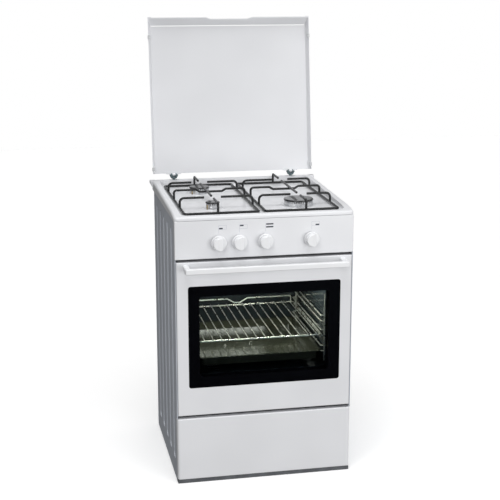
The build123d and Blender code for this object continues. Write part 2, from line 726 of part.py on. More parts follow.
def wire_shelf():
    """A wire shelf with a raised rail at the rear."""
    half = SHELF_HALF_WIDTH - SHELF_ROD / 2
    front = SHELF_FRONT_Y + SHELF_ROD / 2
    rear = SHELF_REAR_Y - SHELF_ROD / 2
    z = SHELF_Z
    shapes = [loop([(-half, front, z), (half, front, z), (half, rear, z), (-half, rear, z)], SHELF_ROD, 8.0)]
    top = z + SHELF_ROD / 2 + SHELF_WIRE / 2 - 0.9
    for i in range(SHELF_WIRES):
        x = (i - (SHELF_WIRES - 1) / 2) * SHELF_PITCH
        shapes.append(bar_y(x, front - 1, rear + 1, top, SHELF_WIRE))
    high = z + 22.0
    low = high - SHELF_GUARD
    post = RACK_REACH - 9.0
    path = [(-post, rear, z), (-post, rear, high), (-38, rear, high), (-14, rear, low),
            (6, rear, low), (30, rear, high), (post, rear, high), (post, rear, z)]
    shapes.append(rod(path, SHELF_ROD - 1.0, 6.0))
    return joined(shapes)


def tray_form(grow, top):
    """The tapered hollow of the tray, grown by its sheet thickness."""
    lip = TRAY_LIP
    front, rear = SHELF_FRONT_Y + lip, SHELF_REAR_Y - lip
    middle = (front + rear) / 2
    wide = 2 * (TRAY_HALF_WIDTH - lip) - 2 * TRAY_SHEET + 2 * grow
    long = rear - front - 2 * TRAY_SHEET + 2 * grow
    z = TRAY_Z - TRAY_DEPTH + TRAY_SHEET - grow
    base = Plane(origin=spot(0, middle, z)) * RectangleRounded(wide - 8, long - 8, 10.0)
    mouth = Plane(origin=spot(0, middle, TRAY_Z + top)) * RectangleRounded(wide, long, 14.0)
    return loft([base, mouth])


def baking_tray():
    """A pressed tray hanging by its rim."""
    middle = (SHELF_FRONT_Y + SHELF_REAR_Y) / 2
    rim = RectangleRounded(2 * TRAY_HALF_WIDTH, SHELF_REAR_Y - SHELF_FRONT_Y, 16.0)
    shape = extrude(Plane(origin=spot(0, middle, TRAY_Z - TRAY_SHEET)) * rim, TRAY_SHEET)
    shape += tray_form(TRAY_SHEET, 0.0)
    return shape - tray_form(0.0, 1.0)


# ---- Control panel, taps, spindles and knobs -----------------------------------------------
def control_panel():
    """A folded panel with returns on all four edges and a hole for each spindle."""
    t = ENAMEL_SHEET
    shape = block(-HALF, HALF, 0, PANEL_RETURN, PANEL_BOTTOM, PANEL_TOP)
    front = shape.faces().sort_by(Axis.Y)[0]
    shape = fillet(front.edges(), PANEL_ROUND)
    shape -= block(-HALF + t, HALF - t, t, PANEL_RETURN + 1, PANEL_BOTTOM + t, PANEL_TOP - t)
    for x in KNOB_PLACES.values():
        shape -= bar_y(x, -5, 5, KNOB_Z, SPINDLE_HOLE)
    return shape


def gas_taps():
    """A tap body under each knob: a block on the rail with a boss that reaches the panel."""
    taps = []
    for x in KNOB_PLACES.values():
        tap = block(x - TAP_WIDTH / 2, x + TAP_WIDTH / 2, TAP_FRONT_Y, TAP_REAR_Y, RAIL_Z, KNOB_Z + 14)
        tap = chamfer(tap.edges().filter_by(Axis.Y), 2.0)
        tap += bar_y(x, ENAMEL_SHEET, TAP_FRONT_Y + 1, KNOB_Z, TAP_BOSS)
        tap -= bar_y(x, -5, TAP_REAR_Y - 16, KNOB_Z, SPINDLE + 2 * RUN)
        tap -= bar_x(x - TAP_WIDTH, x + TAP_WIDTH, RAIL_Y, RAIL_Z, RAIL)
        taps.append(tap)
    return Compound(children=taps)


def gas_rail():
    """The manifold behind the panel and its feed along the right-hand side."""
    rear = BODY_DEPTH
    path = [(-RAIL_HALF, RAIL_Y, RAIL_Z), (FEED_X, RAIL_Y, RAIL_Z), (FEED_X, rear, RAIL_Z)]
    return rod(path, RAIL, 24.0)


def gas_inlet():
    """A hexagon against the back panel with the threaded inlet behind it."""
    front = BODY_DEPTH - SHEET
    plane = Plane(origin=spot(FEED_X, front, RAIL_Z), x_dir=(1, 0, 0), z_dir=(0, 1, 0))
    shape = extrude(plane * RegularPolygon(INLET_HEX / 2, 6, major_radius=False), INLET_NUT)
    end = front + INLET_NUT + INLET_LENGTH
    thread = bar_y(FEED_X, front + INLET_NUT - 1, end, RAIL_Z, INLET_THREAD)
    shape += chamfer(thread.edges().group_by(Axis.Y)[-1], 1.0)
    shape -= bar_y(FEED_X, front - 1, BODY_DEPTH, RAIL_Z, RAIL)
    return shape - bar_y(FEED_X, front, end + 1, RAIL_Z, INLET_BORE)


def tap_spindle(x):
    """A stepped spindle from inside the tap to inside the knob."""
    back = TAP_REAR_Y - 16 - KNOB_STANDOFF - 1
    shape = bar_y(x, -KNOB_STANDOFF - SPINDLE_NOSE, back, KNOB_Z, SPINDLE)
    tip = -KNOB_STANDOFF - KNOB_DEPTH + KNOB_BEVEL_DEPTH + KNOB_WALL
    return shape + bar_y(x, tip, 0, KNOB_Z, SPINDLE_TIP)


def knob(x):
    """A skirted knob: a grip with one flat side, bevelled towards it, on a narrower neck."""
    back = -KNOB_STANDOFF
    face = back - KNOB_DEPTH
    step = back - KNOB_SKIRT_DEPTH
    skirt = bar_y(x, back, step, KNOB_Z, KNOB_SKIRT)
    skirt = fillet(skirt.edges().group_by(Axis.Y)[0], 2.0)
    neck = bar_y(x, step + 1, step - KNOB_NECK_DEPTH - 1, KNOB_Z, KNOB_NECK)
    root = Plane(origin=spot(x, step - KNOB_NECK_DEPTH, KNOB_Z), x_dir=(1, 0, 0), z_dir=(0, -1, 0))
    length = KNOB_DEPTH - KNOB_SKIRT_DEPTH - KNOB_NECK_DEPTH
    grip = loft([root * Circle(KNOB_ROOT / 2), root.offset(length) * Circle(KNOB_TIP / 2)])
    grip = chamfer(grip.edges().group_by(Axis.Y)[0], KNOB_EDGE)
    grip += neck
    grip -= block(x + KNOB_FLAT, x + KNOB_SKIRT, face - 1, step, KNOB_Z - KNOB_SKIRT, KNOB_Z + KNOB_SKIRT)
    slope = Rot(0, 0, math.degrees(math.atan2(KNOB_BEVEL_DEPTH, KNOB_BEVEL)))
    near = Pos(*spot(x + KNOB_FLAT - KNOB_BEVEL, face, KNOB_Z))
    grip -= near * slope * Pos(KNOB_SKIRT / 2, -KNOB_SKIRT / 4, 0) * Box(KNOB_SKIRT, KNOB_SKIRT / 2, KNOB_SKIRT)
    crest = Pos(*spot(x, face, KNOB_Z + KNOB_TIP / 2 - KNOB_CREST / 2)) * Rot(45, 0, 0)
    grip -= crest * Pos(0, 0, KNOB_CREST) * Box(KNOB_SKIRT, KNOB_SKIRT, 2 * KNOB_CREST)
    shape = skirt + grip
    shape -= bar_y(x, back + 1, face + KNOB_BEVEL_DEPTH + KNOB_WALL, KNOB_Z, KNOB_HOLLOW)
    hub = bar_y(x, back - SPINDLE_NOSE - SEAT, face + KNOB_BEVEL_DEPTH, KNOB_Z, KNOB_HUB)
    for angle in (0, 90):
        web = Pos(*spot(x, 0, KNOB_Z)) * Rot(0, angle, 0) * Pos(0, face + KNOB_BEVEL_DEPTH + 7.0, 0)
        shape += web * Box(KNOB_HOLLOW + 1, 12.0, 1.6)
    shape += hub
    return shape - bar_y(x, back + 1, face + KNOB_BEVEL_DEPTH + 1, KNOB_Z, SPINDLE_TIP + 2 * RUN)


# ---- Hob and burners -----------------------------------------------------------------------
def rounded_plan(half, front, rear, radius, z):
    """A rounded rectangle seen from above, at a level."""
    plane = Plane(origin=spot(0, (front + rear) / 2, z))
    return plane * RectangleRounded(2 * half, rear - front, radius)


def hob_form(t):
    """The hob's outer form, or the same form moved inward by a sheet thickness."""
    half = HOB_HALF - t
    rear = HOB_REAR_Y - t
    bottom = SKIRT_BOTTOM - t
    outline = Polyline((t, bottom), (t, NOSE_Z - t), (KNEE_Y, KNEE_Z - t), (rear, HOB_TOP - t),
                       (rear, bottom), (t, bottom))
    side = make_face(outline)
    side = fillet(side.vertices().sort_by_distance((KNEE_Y, KNEE_Z))[0], KNEE_ROUND)
    shape = extrude(Plane(origin=spot(-half, 0, 0), x_dir=(0, 1, 0), z_dir=(1, 0, 0)) * side, 2 * half)
    shape &= extrude(rounded_plan(half, t, rear, HOB_CORNER - t, bottom), HOB_TOP)
    raised = [e for e in shape.edges() if e.bounding_box().min.Z > NOSE_Z - t - 1]
    rim = [e for e in raised if e.length < 2 * half - 1 or abs(e.center().Y - spot(0, KNEE_Y, 0)[1]) > 50]
    shape = fillet(rim, RIM_ROUND - t)
    wing = hob_wing(t)
    shape = shape + wing + mirror(wing, about=Plane.YZ)
    floor = SURFACE - t
    dish_half = HOB_HALF - RIM_WIDTH - RIM_SLOPE + t
    dish_rear = HOB_REAR_Y - RIM_REAR - RIM_SLOPE + t
    dish = rounded_plan(dish_half, RIM_FRONT + 1 - t, dish_rear, DISH_CORNER + t, floor)
    cutter = extrude(dish, HOB_TOP - floor + 2, taper=-RIM_TAPER)
    cutter = fillet(cutter.faces().sort_by(Axis.Z)[0].edges(), DISH_FILLET + t)
    return shape - cutter


def hob_wing(t):
    """The lug that flares out at the right rear corner, or its inside."""
    front, rear = HOB_REAR_Y - WING_LENGTH + t, HOB_REAR_Y - t
    top = HOB_TOP - WING_ROUND / 6 - t
    root = HOB_HALF - RIM_ROUND - 2
    sections = []
    for reach, z in ((0.0, HOB_TOP - WING_DROP - t), (WING, HOB_TOP - WING_DEPTH - t)):
        tip = HOB_HALF + reach - t
        plane = Plane(origin=spot((root + tip) / 2, (front + rear) / 2, z))
        sections.append(plane * Rectangle(tip - root, rear - front))
    upper = extrude(sections[1], top - (HOB_TOP - WING_DEPTH - t))
    wing = loft(sections) + upper
    corner = wing.edges().filter_by(Axis.Z).group_by(Axis.X)[-1]
    return fillet(corner, WING_ROUND)


def spigot_radius(cap):
    """The radius of a burner head's spigot, from its cap diameter."""
    return cap / 2 - HEAD_INSET - SPIGOT_INSET


def emboss(x, y, cap, base):
    """A low ring pressed up round a burner."""
    r = cap / 2 + RING_EMBOSS_GAP
    w = RING_EMBOSS_WIDTH
    plane = Plane(origin=spot(x, y, base - 0.2))
    wide = Circle(r + w) - Circle(r)
    return extrude(plane * wide, RING_EMBOSS + 0.2, taper=35)


def probe_place(x, y, cap):
    """Where the flame probe of a burner stands, ahead of it and to the left."""
    reach = (cap / 2 - HEAD_INSET + PROBE_GAP + PROBE / 2) * math.sqrt(0.5)
    return x - reach, y - reach


def hob_top():
    """The pressed hob with its burner openings, probe holes and hinge holes."""
    outer = hob_form(0.0)
    inner = hob_form(ENAMEL_SHEET)
    for x, y, cap in BURNERS.values():
        outer += emboss(x, y, cap, SURFACE)
        inner += emboss(x, y, cap, SURFACE - ENAMEL_SHEET)
    shape = outer - inner
    for x, y, cap in BURNERS.values():
        shape -= bar_z(x, y, SURFACE - 20, SURFACE + 20, 2 * spigot_radius(cap) + 2 * SEAT)
    for name in ("small", "medium"):
        px, py = probe_place(*BURNERS[name])
        shape -= bar_z(px, py, SURFACE - 20, SURFACE + 20, PROBE + 0.2)
    for x in (-LID_HINGE_X, LID_HINGE_X):
        shape -= bar_z(x, LID_PIVOT_Y, HOB_TOP - 20, HOB_TOP + 20, HINGE_STEM)
    return shape


def burner_cups():
    """The cups under the hob that the heads stand in and the gas pipes run to."""
    cups = []
    for x, y, cap in BURNERS.values():
        r = spigot_radius(cap) + SEAT
        cup = bar_z(x, y, CUP_TOP - CUP_DEPTH, CUP_TOP, 2 * (r + CUP_WALL))
        cup -= bar_z(x, y, CUP_TOP - CUP_DEPTH + CUP_WALL, CUP_TOP + 1, 2 * r)
        cup -= bar_y(x, y - 60, y, PIPE_ENTRY_Z, PIPE)
        cups.append(cup)
    return Compound(children=cups)


def burner_head(x, y, cap):
    """A head with flame slots round its rim and a spigot down into the cup."""
    r = cap / 2 - HEAD_INSET
    core = spigot_radius(cap)
    skirt = bar_z(x, y, SURFACE, HEAD_TOP, 2 * r)
    skirt = chamfer(skirt.edges().group_by(Axis.Z)[0], 1.5)
    shape = skirt + bar_z(x, y, SURFACE - SPIGOT_DEPTH, SURFACE + 1, 2 * core)
    shape -= bar_z(x, y, SURFACE - SPIGOT_DEPTH - 1, HEAD_TOP - HEAD_CROWN, 2 * core - 5)
    shape -= bar_z(x, y, HEAD_TOP - HEAD_CROWN - 0.5, HEAD_TOP + 1, 2 * r - 12)
    count = round(math.tau * r / HEAD_PITCH)
    slots = []
    for i in range(count):
        turn = Pos(*spot(x, y, HEAD_TOP)) * Rot(0, 0, 360 * i / count)
        slots.append(turn * Pos(r - 2, 0, -HEAD_SLOT / 2 + 0.5) * Box(12, HEAD_SLOT_WIDTH, HEAD_SLOT + 1))
    return shape.cut(*slots)


def burner_heads():
    """All three heads."""
    return Compound(children=[burner_head(*place) for place in BURNERS.values()])


def burner_cap(x, y, cap):
    """A domed cap with a ring below that keeps it centred on its head."""
    z = HEAD_TOP + CAP_LIFT_GAP
    shape = bar_z(x, y, z, z + CAP_THICK, cap)
    shape = fillet(shape.edges().group_by(Axis.Z)[-1], 3.0)
    centre = cap / 2 - HEAD_INSET - 6 - 2 * SEAT
    ring = bar_z(x, y, z - CAP_RING, z + 1, 2 * centre)
    return shape + ring - bar_z(x, y, z - CAP_RING - 1, z + 1.5, 2 * centre - 5)


def burner_pipes():
    """Pipes from the taps to the three hob burners, the oven burner and the grill."""
    z0 = KNOB_Z
    z1 = PIPE_ENTRY_Z
    back = TAP_REAR_Y
    sx, sy, cap = BURNERS["small"]
    kx = KNOB_PLACES["front_left"]
    end = sy - spigot_radius(cap) - SEAT
    small = [(kx, back, z0), (kx, back + 24, z0), (sx, back + 36, z1), (sx, end, z1)]
    mx, my, cap = BURNERS["medium"]
    kx = KNOB_PLACES["rear_left"]
    end = my - spigot_radius(cap) - SEAT
    medium = [(kx, back, z0), (kx, back + 54, z0), (mx, my - 70, z1), (mx, end, z1)]
    lx, ly, cap = BURNERS["large"]
    kx = KNOB_PLACES["front_right"]
    end = ly - spigot_radius(cap) - SEAT
    run = PIPE_BEND * 1.2
    large = [(kx, back, z0), (kx, back + run, z0), (lx, back + run, z1), (lx, end, z1)]
    ox = 7.0
    side = CAVITY_HALF + 48
    y = back + 26
    oven = [(-ox, back, z0), (-ox, y, z0), (-ox, y, 700), (-side, y, 700), (-side, y, OVEN_BURNER_Z),
            (-side, OVEN_BURNER_Y, OVEN_BURNER_Z), (-WELL_HALF, OVEN_BURNER_Y, OVEN_BURNER_Z)]
    y = GRILL_FRONT_Y
    side = CAVITY_HALF + 40
    grill = [(ox, back, z0), (ox, y, z0), (ox, y, 676), (-side, y, 676), (-side, y, GRILL_Z),
             (-CAVITY_HALF, y, GRILL_Z)]
    return Compound(children=[rod(path, PIPE, PIPE_BEND) for path in (small, medium, large, oven, grill)])


def thermocouples():
    """Flame probes beside two burners, with leads down to their taps."""
    pieces = []
    leads = {"small": ("front_left", 760.0, None), "medium": ("rear_left", 775.0, 200.0)}
    for name, (tap, low, turn) in leads.items():
        px, py = probe_place(*BURNERS[name])
        tip = bar_z(px, py, CUP_TOP - 25, SURFACE + PROBE_HEIGHT, PROBE)
        tip = fillet(tip.edges().group_by(Axis.Z)[-1], 2.0)
        x = KNOB_PLACES[tap] - 8
        path = [(px, py, CUP_TOP - 24), (px, py, low)]
        if turn:
            path.append((x, turn, low))
        path += [(x, TAP_REAR_Y + 20, KNOB_Z + 9), (x, TAP_REAR_Y, KNOB_Z + 9)]
        pieces.append(tip + rod(path, LEAD, 6.0))
    return Compound(children=pieces)


# ---- Pan supports --------------------------------------------------------------------------
def pan_support():
    """The right-hand support: a ring of wire, fingers over each burner and a middle bridge."""
    z = RING_Z
    top = ARM_Z
    inner, outer = RING_INNER_X, RING_OUTER_X
    front, rear = RING_FRONT_Y, RING_REAR_Y
    x = BURNER_X
    r = FINGER_RADIUS
    shapes = [loop([(inner, front, z), (outer, front, z), (outer, rear, z), (inner, rear, z)],
                   WIRE, RING_CORNER)]
    for y in (BURNER_FRONT_Y, BURNER_REAR_Y):
        shapes.append(rod([(outer, y, z), (outer, y, top), (x + r, y, top)], FINGER_WIRE, ARM_BEND))
        shapes.append(rod([(inner, y, z), (inner, y, top), (x - r, y, top)], FINGER_WIRE, ARM_BEND))
    for y, tip in ((front, BURNER_FRONT_Y - r), (rear, BURNER_REAR_Y + r)):
        shapes.append(rod([(x, y, z), (x, y, top), (x, tip, top)], FINGER_WIRE, END_BEND))
    y = ARM_MIDDLE_Y
    low = top - DIP_DEPTH
    bridge = [(inner, y, z), (inner, y, top), (DIP_INNER_X - DIP_RAMP / 2, y, top),
              (DIP_INNER_X + DIP_RAMP / 2, y, low), (DIP_OUTER_X - DIP_RAMP / 2, y, low),
              (DIP_OUTER_X + DIP_RAMP / 2, y, top), (outer, y, top), (outer, y, z)]
    shapes.append(rod(bridge, FINGER_WIRE, BRIDGE_BEND))
    shapes.append(bar_y(x, BURNER_FRONT_Y + r, BURNER_REAR_Y - r, top - 0.6, FINGER_WIRE))
    for fx in (inner, outer):
        for fy in (front + 30, rear - 30):
            shapes.append(bar_z(fx, fy, SURFACE + SLIP, z, WIRE - 1))
    return joined(shapes)


# ---- Lid, drawn closed and then tipped back ------------------------------------------------
def opened(shape):
    """A piece of the lid carried from the closed place to where the lid rests open."""
    axis = Axis(spot(0, LID_PIVOT_Y, LID_PIVOT_Z), (1, 0, 0))
    return shape.rotate(axis, -(90 + LID_LEAN))


def lid_form(t):
    """The lid's outer form when closed, moved inward by a sheet thickness."""
    top = LID_PIVOT_Z + LID_OFFSET - t
    rear = LID_PIVOT_Y - LID_REAR_GAP
    plate = (LID_PLATE_HALF - t, LID_PLATE_FRONT_Y + t, top)
    edge = (LID_EDGE_HALF - t, LID_EDGE_FRONT_Y + t, top - LID_SKIRT)
    low = (edge[0] + t * 0.4, edge[1] - t * 0.4, edge[2] - t)
    sections = []
    for half, front, z in (low, plate) if t else (edge, plate):
        plane = Plane(origin=spot(0, (front + rear) / 2, z))
        sections.append(plane * Rectangle(2 * half, rear - front))
    return loft(sections)


def lid_panel():
    """A pressed lid: a flat plate with flared sides and a sloping front lip."""
    outer = lid_form(0.0)
    slanted = outer.edges().group_by(Axis.Z)[-1].sort_by(Axis.Y)[:-1]
    outer = fillet(slanted, LID_ROUND)
    rear = LID_PIVOT_Y - LID_REAR_GAP
    hollow = lid_form(LID_SHEET)
    slanted = hollow.edges().group_by(Axis.Z)[-1].sort_by(Axis.Y)[:-1]
    hollow = fillet(slanted, LID_ROUND - LID_SHEET)
    crease = LID_PLATE_FRONT_Y + LID_ROUND
    inner = LID_PIVOT_Z + LID_OFFSET - LID_SHEET
    hollow -= bar_x(-HALF, HALF, crease, inner, LID_BEAD)
    hollow += block(-LID_PLATE_HALF + LID_SHEET, LID_PLATE_HALF - LID_SHEET, rear - 40, rear + 5,
                    LID_PIVOT_Z - 20, inner)
    shape = outer - hollow
    shape -= bar_x(-LID_PLATE_HALF + LID_ROUND, LID_PLATE_HALF - LID_ROUND, crease,
                   inner + LID_SHEET, LID_BEAD_GROOVE)
    edge = LID_PIVOT_Z + LID_OFFSET - LID_SKIRT
    front = LID_EDGE_FRONT_Y
    scoop = Plane(origin=spot(0, front - 5, edge - 1), x_dir=(1, 0, 0), z_dir=(0, 1, 0))
    half = RECESS_HALF
    wide = half + RECESS_RAMP
    rise = RECESS_RISE + 1
    outline = Polyline((-wide, 0), (wide, 0), (half, -rise), (-half, -rise), (-wide, 0))
    shape -= extrude(scoop * make_face(outline), 30)
    for side in (-1, 1):
        x = side * (LID_EDGE_HALF - EAR_WIDTH / 2)
        ear = block(x - EAR_WIDTH / 2, x + EAR_WIDTH / 2, front - EAR_REACH, front + 3, edge, edge + 1.5)
        shape += ear
    return shape


def hinge_slot(x, low):
    """The slot a lid bracket swings in."""
    return block(x - HINGE_SLOT / 2, x + HINGE_SLOT / 2, LID_PIVOT_Y - HINGE_REACH,
                 LID_PIVOT_Y + HINGE_REACH, low, LID_PIVOT_Z + HINGE_REACH)


def lid_hinge_cups():
    """Two flared forks on stems that stand in the rear rim of the hob."""
    cups = []
    rim = LID_PIVOT_Z - CUP_DROP
    foot = HOB_TOP + CUP_FOOT_RISE
    for x in (-LID_HINGE_X, LID_HINGE_X):
        base = Plane(origin=spot(x, LID_PIVOT_Y, foot))
        cup = loft([base * Circle(CUP_FOOT / 2), base.offset(CUP_CONE) * Circle(HINGE_CUP / 2)])
        cup += bar_z(x, LID_PIVOT_Y, foot + CUP_CONE, rim, HINGE_CUP)
        cup += bar_z(x, LID_PIVOT_Y, HOB_TOP - 18, foot + 1, HINGE_STEM)
        width = HINGE_SLOT + 2 * CHEEK
        cup += bar_x(x - width / 2, x + width / 2, LID_PIVOT_Y, LID_PIVOT_Z, 2 * CHEEK_RADIUS)
        cup -= hinge_slot(x, LID_PIVOT_Z - HINGE_KNUCKLE / 2 - SEAT)
        cup -= bar_x(x - width, x + width, LID_PIVOT_Y, LID_PIVOT_Z, HINGE_PIN)
        cups.append(cup)
    return Compound(children=cups)


def lid_hinge_pins():
    """A pin through each fork."""
    half = HINGE_SLOT / 2 + CHEEK
    pins = [bar_x(x - half, x + half, LID_PIVOT_Y, LID_PIVOT_Z, HINGE_PIN) for x in (-LID_HINGE_X, LID_HINGE_X)]
    return Compound(children=pins)


def lid_hinge_brackets():
    """A winged clip over the rear edge of the lid with a knuckle on each pin."""
    inner = LID_PIVOT_Z + LID_OFFSET - LID_SHEET
    near = LID_PIVOT_Y - BRACKET_START
    far = near - BRACKET_LENGTH
    half = HINGE_SLOT / 2 - SLIP
    cheek = HINGE_SLOT / 2 + CHEEK + SEAT
    brackets = []
    for x in (-LID_HINGE_X, LID_HINGE_X):
        shape = block(x - BRACKET_HALF, x + BRACKET_HALF, far, near, inner - BRACKET_THICK, inner)
        shape = chamfer(shape.edges().filter_by(Axis.Z), BRACKET_POINT)
        shape -= block(x - cheek, x + cheek, LID_PIVOT_Y - CHEEK_RADIUS - SEAT, near + 1,
                       inner - BRACKET_THICK - 1, inner + 1)
        shape += block(x - half, x + half, far + 1, LID_PIVOT_Y, inner - BRACKET_THICK, inner)
        shape += bar_x(x - half, x + half, LID_PIVOT_Y, LID_PIVOT_Z, HINGE_KNUCKLE - 1)
        shape -= bar_x(x - half - 1, x + half + 1, LID_PIVOT_Y, LID_PIVOT_Z, HINGE_PIN + 2 * RUN)
        brackets.append(shape)
    return Compound(children=brackets)


def lid_buffers():
    """Four soft clips over the edges of the lid that meet the hob rim when it is closed."""
    edge = LID_PIVOT_Z + LID_OFFSET - LID_SKIRT
    skin = lid_panel()
    clips = []
    places = (LID_PIVOT_Y - BUFFER_REAR - BUFFER_LENGTH, LID_EDGE_FRONT_Y + BUFFER_FRONT)
    for side in (-1, 1):
        for y in places:
            x = side * LID_EDGE_HALF
            clip = block(x - side * BUFFER_WIDTH, x + side, y, y + BUFFER_LENGTH, HOB_TOP + SEAT, edge + 6)
            clip = fillet(clip.edges().filter_by(Axis.Y).group_by(Axis.Z)[0], 1.0)
            clips.append(clip - skin)
    return Compound(children=clips)


# ---- Oven door -----------------------------------------------------------------------------
def door_outline(half, low, high, radius):
    """A rounded rectangle in the plane of the door's face."""
    plane = Plane(origin=spot(0, 0, (low + high) / 2), x_dir=(1, 0, 0), z_dir=(0, 1, 0))
    return plane * RectangleRounded(2 * half, high - low, radius)


def door_layer(half, low, high, radius, near, far):
    """A rounded plate across the door between two depths."""
    return Pos(0, near, 0) * extrude(door_outline(half, low, high, radius), far - near)


def glass_layer(grow, near, far):
    """A plate the shape of the glazed opening, grown all round."""
    low = DOOR_BOTTOM + GLASS_BOTTOM
    return door_layer(GLASS_WIDTH / 2 + grow, low - grow, low + GLASS_HEIGHT + grow, GLASS_CORNER + grow,
                      near, far)


def window_layer(grow, near, far):
    """A plate the shape of the clear window, grown all round."""
    low = DOOR_BOTTOM + WINDOW_BOTTOM
    return door_layer(WINDOW_WIDTH / 2 + grow, low - grow, low + WINDOW_HEIGHT + grow,
                      WINDOW_CORNER + grow, near, far)


def arm_slots():
    """The spaces in the foot of the door that its two fixed hinge arms swing in."""
    cuts = []
    for x in (-DOOR_ARM_X, DOOR_ARM_X):
        half = DOOR_ARM_THICK / 2 + 1.0
        high = DOOR_PIVOT_Z + DOOR_ARM_HEIGHT / 2 + 1.0
        cuts.append(block(x - half, x + half, 2.5, DOOR_DEPTH + 5, DOOR_BOTTOM - 5, high))
    return joined(cuts)


def door_panel():
    """The white outer pan of the door with the opening for the glass."""
    t = ENAMEL_SHEET
    shape = block(-DOOR_HALF, DOOR_HALF, 0, DOOR_DEPTH, DOOR_BOTTOM, DOOR_TOP)
    shape = fillet(shape.faces().sort_by(Axis.Y)[0].edges(), DOOR_EDGE_RADIUS)
    shape -= block(-DOOR_HALF + t, DOOR_HALF - t, t, DOOR_DEPTH + 1, DOOR_BOTTOM + t, DOOR_TOP - t)
    shape -= glass_layer(0.0, -5, 5)
    for side in (-1, 1):
        x = side * (HANDLE_LENGTH / 2 - POST_WIDTH / 2)
        shape -= bar_y(x, -5, 5, DOOR_TOP - HANDLE_DROP, HANDLE_SCREW)
    return shape - arm_slots()


def door_outer_glass():
    """The front pane, behind the edge of the opening."""
    return glass_layer(GLASS_LAP, ENAMEL_SHEET, ENAMEL_SHEET + GLASS_THICK)


def door_window_frame():
    """The black frame behind the front pane, with a tunnel back to the inner pane."""
    near = ENAMEL_SHEET + GLASS_THICK
    shape = glass_layer(GLASS_LAP, near, near + 2)
    shape += window_layer(FRAME_WALL, near, INNER_GLASS_Y)
    return shape - window_layer(0.0, near - 1, DOOR_DEPTH)


def door_inner_glass():
    """The inner pane, held against the door's inner plate."""
    return window_layer(GLASS_LAP, INNER_GLASS_Y, INNER_GLASS_Y + GLASS_THICK)


def door_inner_liner():
    """The plate that closes the back of the door, with a pair of lugs at each hinge pin."""
    t = ENAMEL_SHEET
    half = DOOR_HALF - t
    shape = block(-half, half, DOOR_DEPTH - LINER_SHEET, DOOR_DEPTH, DOOR_BOTTOM + t, DOOR_TOP - t)
    shape += block(-half, half, DOOR_DEPTH - 10, DOOR_DEPTH, DOOR_BOTTOM + t, DOOR_TOP - t)
    shape -= block(-half + t, half - t, 0, DOOR_DEPTH - LINER_SHEET, DOOR_BOTTOM + 2 * t, DOOR_TOP - 2 * t)
    shape -= window_layer(0.0, 0, DOOR_DEPTH + 5)
    for x in (-DOOR_ARM_X, DOOR_ARM_X):
        for side in (-1, 1):
            lug = x + side * DOOR_LUG_SPREAD / 2
            edge = DOOR_LUG_THICK / 2
            shape += block(lug - edge, lug + edge, DOOR_PIVOT_Y - 6, DOOR_DEPTH - LINER_SHEET + 0.5,
                           DOOR_BOTTOM + t, DOOR_PIVOT_Z + 14)
    shape -= arm_slots()
    for x in (-DOOR_ARM_X, DOOR_ARM_X):
        shape -= bar_x(x - 20, x + 20, DOOR_PIVOT_Y, DOOR_PIVOT_Z, DOOR_PIN)
    return shape


def door_hinge_pins():
    """A pin between each pair of lugs."""
    half = DOOR_LUG_SPREAD / 2 + 2.0
    pins = [bar_x(x - half, x + half, DOOR_PIVOT_Y, DOOR_PIVOT_Z, DOOR_PIN) for x in (-DOOR_ARM_X, DOOR_ARM_X)]
    return Compound(children=pins)


def door_hinge_brackets():
    """Two fixed arms that reach through the front frame to the pins."""
    arms = []
    for x in (-DOOR_ARM_X, DOOR_ARM_X):
        half = DOOR_ARM_THICK / 2
        high = DOOR_ARM_HEIGHT / 2
        arm = block(x - half, x + half, DOOR_PIVOT_Y, FRAME_BACK_Y + DOOR_ARM_TAIL,
                    DOOR_PIVOT_Z - high, DOOR_PIVOT_Z + high)
        arm += bar_x(x - half, x + half, DOOR_PIVOT_Y, DOOR_PIVOT_Z, DOOR_ARM_HEIGHT)
        arm += block(x - 14, x + 14, FRAME_BACK_Y, FRAME_BACK_Y + 2, DOOR_PIVOT_Z - 16, DOOR_PIVOT_Z + 26)
        arm -= bar_x(x - 20, x + 20, DOOR_PIVOT_Y, DOOR_PIVOT_Z, DOOR_PIN + 2 * RUN)
        arms.append(arm)
    return Compound(children=arms)


def door_handle():
    """A moulded bar with a post at each end, drawn from above and rounded all over."""
    half = HANDLE_LENGTH / 2
    low = DOOR_TOP - HANDLE_DROP - HANDLE_HEIGHT / 2
    plane = Plane(origin=spot(0, 0, low))
    outer = Pos(0, -HANDLE_REACH / 2) * Rectangle(HANDLE_LENGTH, HANDLE_REACH)
    outer = fillet(outer.vertices().group_by(Axis.Y)[0], HANDLE_END)
    inner = Pos(0, -HANDLE_STAND / 2) * Rectangle(2 * (half - POST_WIDTH), HANDLE_STAND)
    inner = fillet(inner.vertices().group_by(Axis.Y)[0], HANDLE_END)
    shape = extrude(plane * (outer - inner), HANDLE_HEIGHT)
    feet = shape.edges().group_by(Axis.Y)[-1]
    rims = shape.edges().group_by(Axis.Z)
    rounded = [edge for edge in rims[0] + rims[-1] if edge not in feet]
    return fillet(rounded, HANDLE_ROUND)


# ---- Drawer --------------------------------------------------------------------------------
def drawer_front():
    """A deep pan with rounded upright edges, open behind."""
    t = ENAMEL_SHEET
    shape = block(-HALF, HALF, 0, DRAWER_FRONT_DEPTH, PLINTH_HEIGHT, DRAWER_TOP)
    shape = fillet(shape.edges().filter_by(Axis.Z).group_by(Axis.Y)[0], DRAWER_EDGE_RADIUS)
    shape = fillet(shape.faces().sort_by(Axis.Y)[0].edges().filter_by(Axis.X), 3.0)
    hollow = block(-HALF + t, HALF - t, t, DRAWER_FRONT_DEPTH + 1, PLINTH_HEIGHT + t, DRAWER_TOP - t)
    hollow = fillet(hollow.edges().filter_by(Axis.Z).group_by(Axis.Y)[0], DRAWER_EDGE_RADIUS - t)
    return shape - hollow


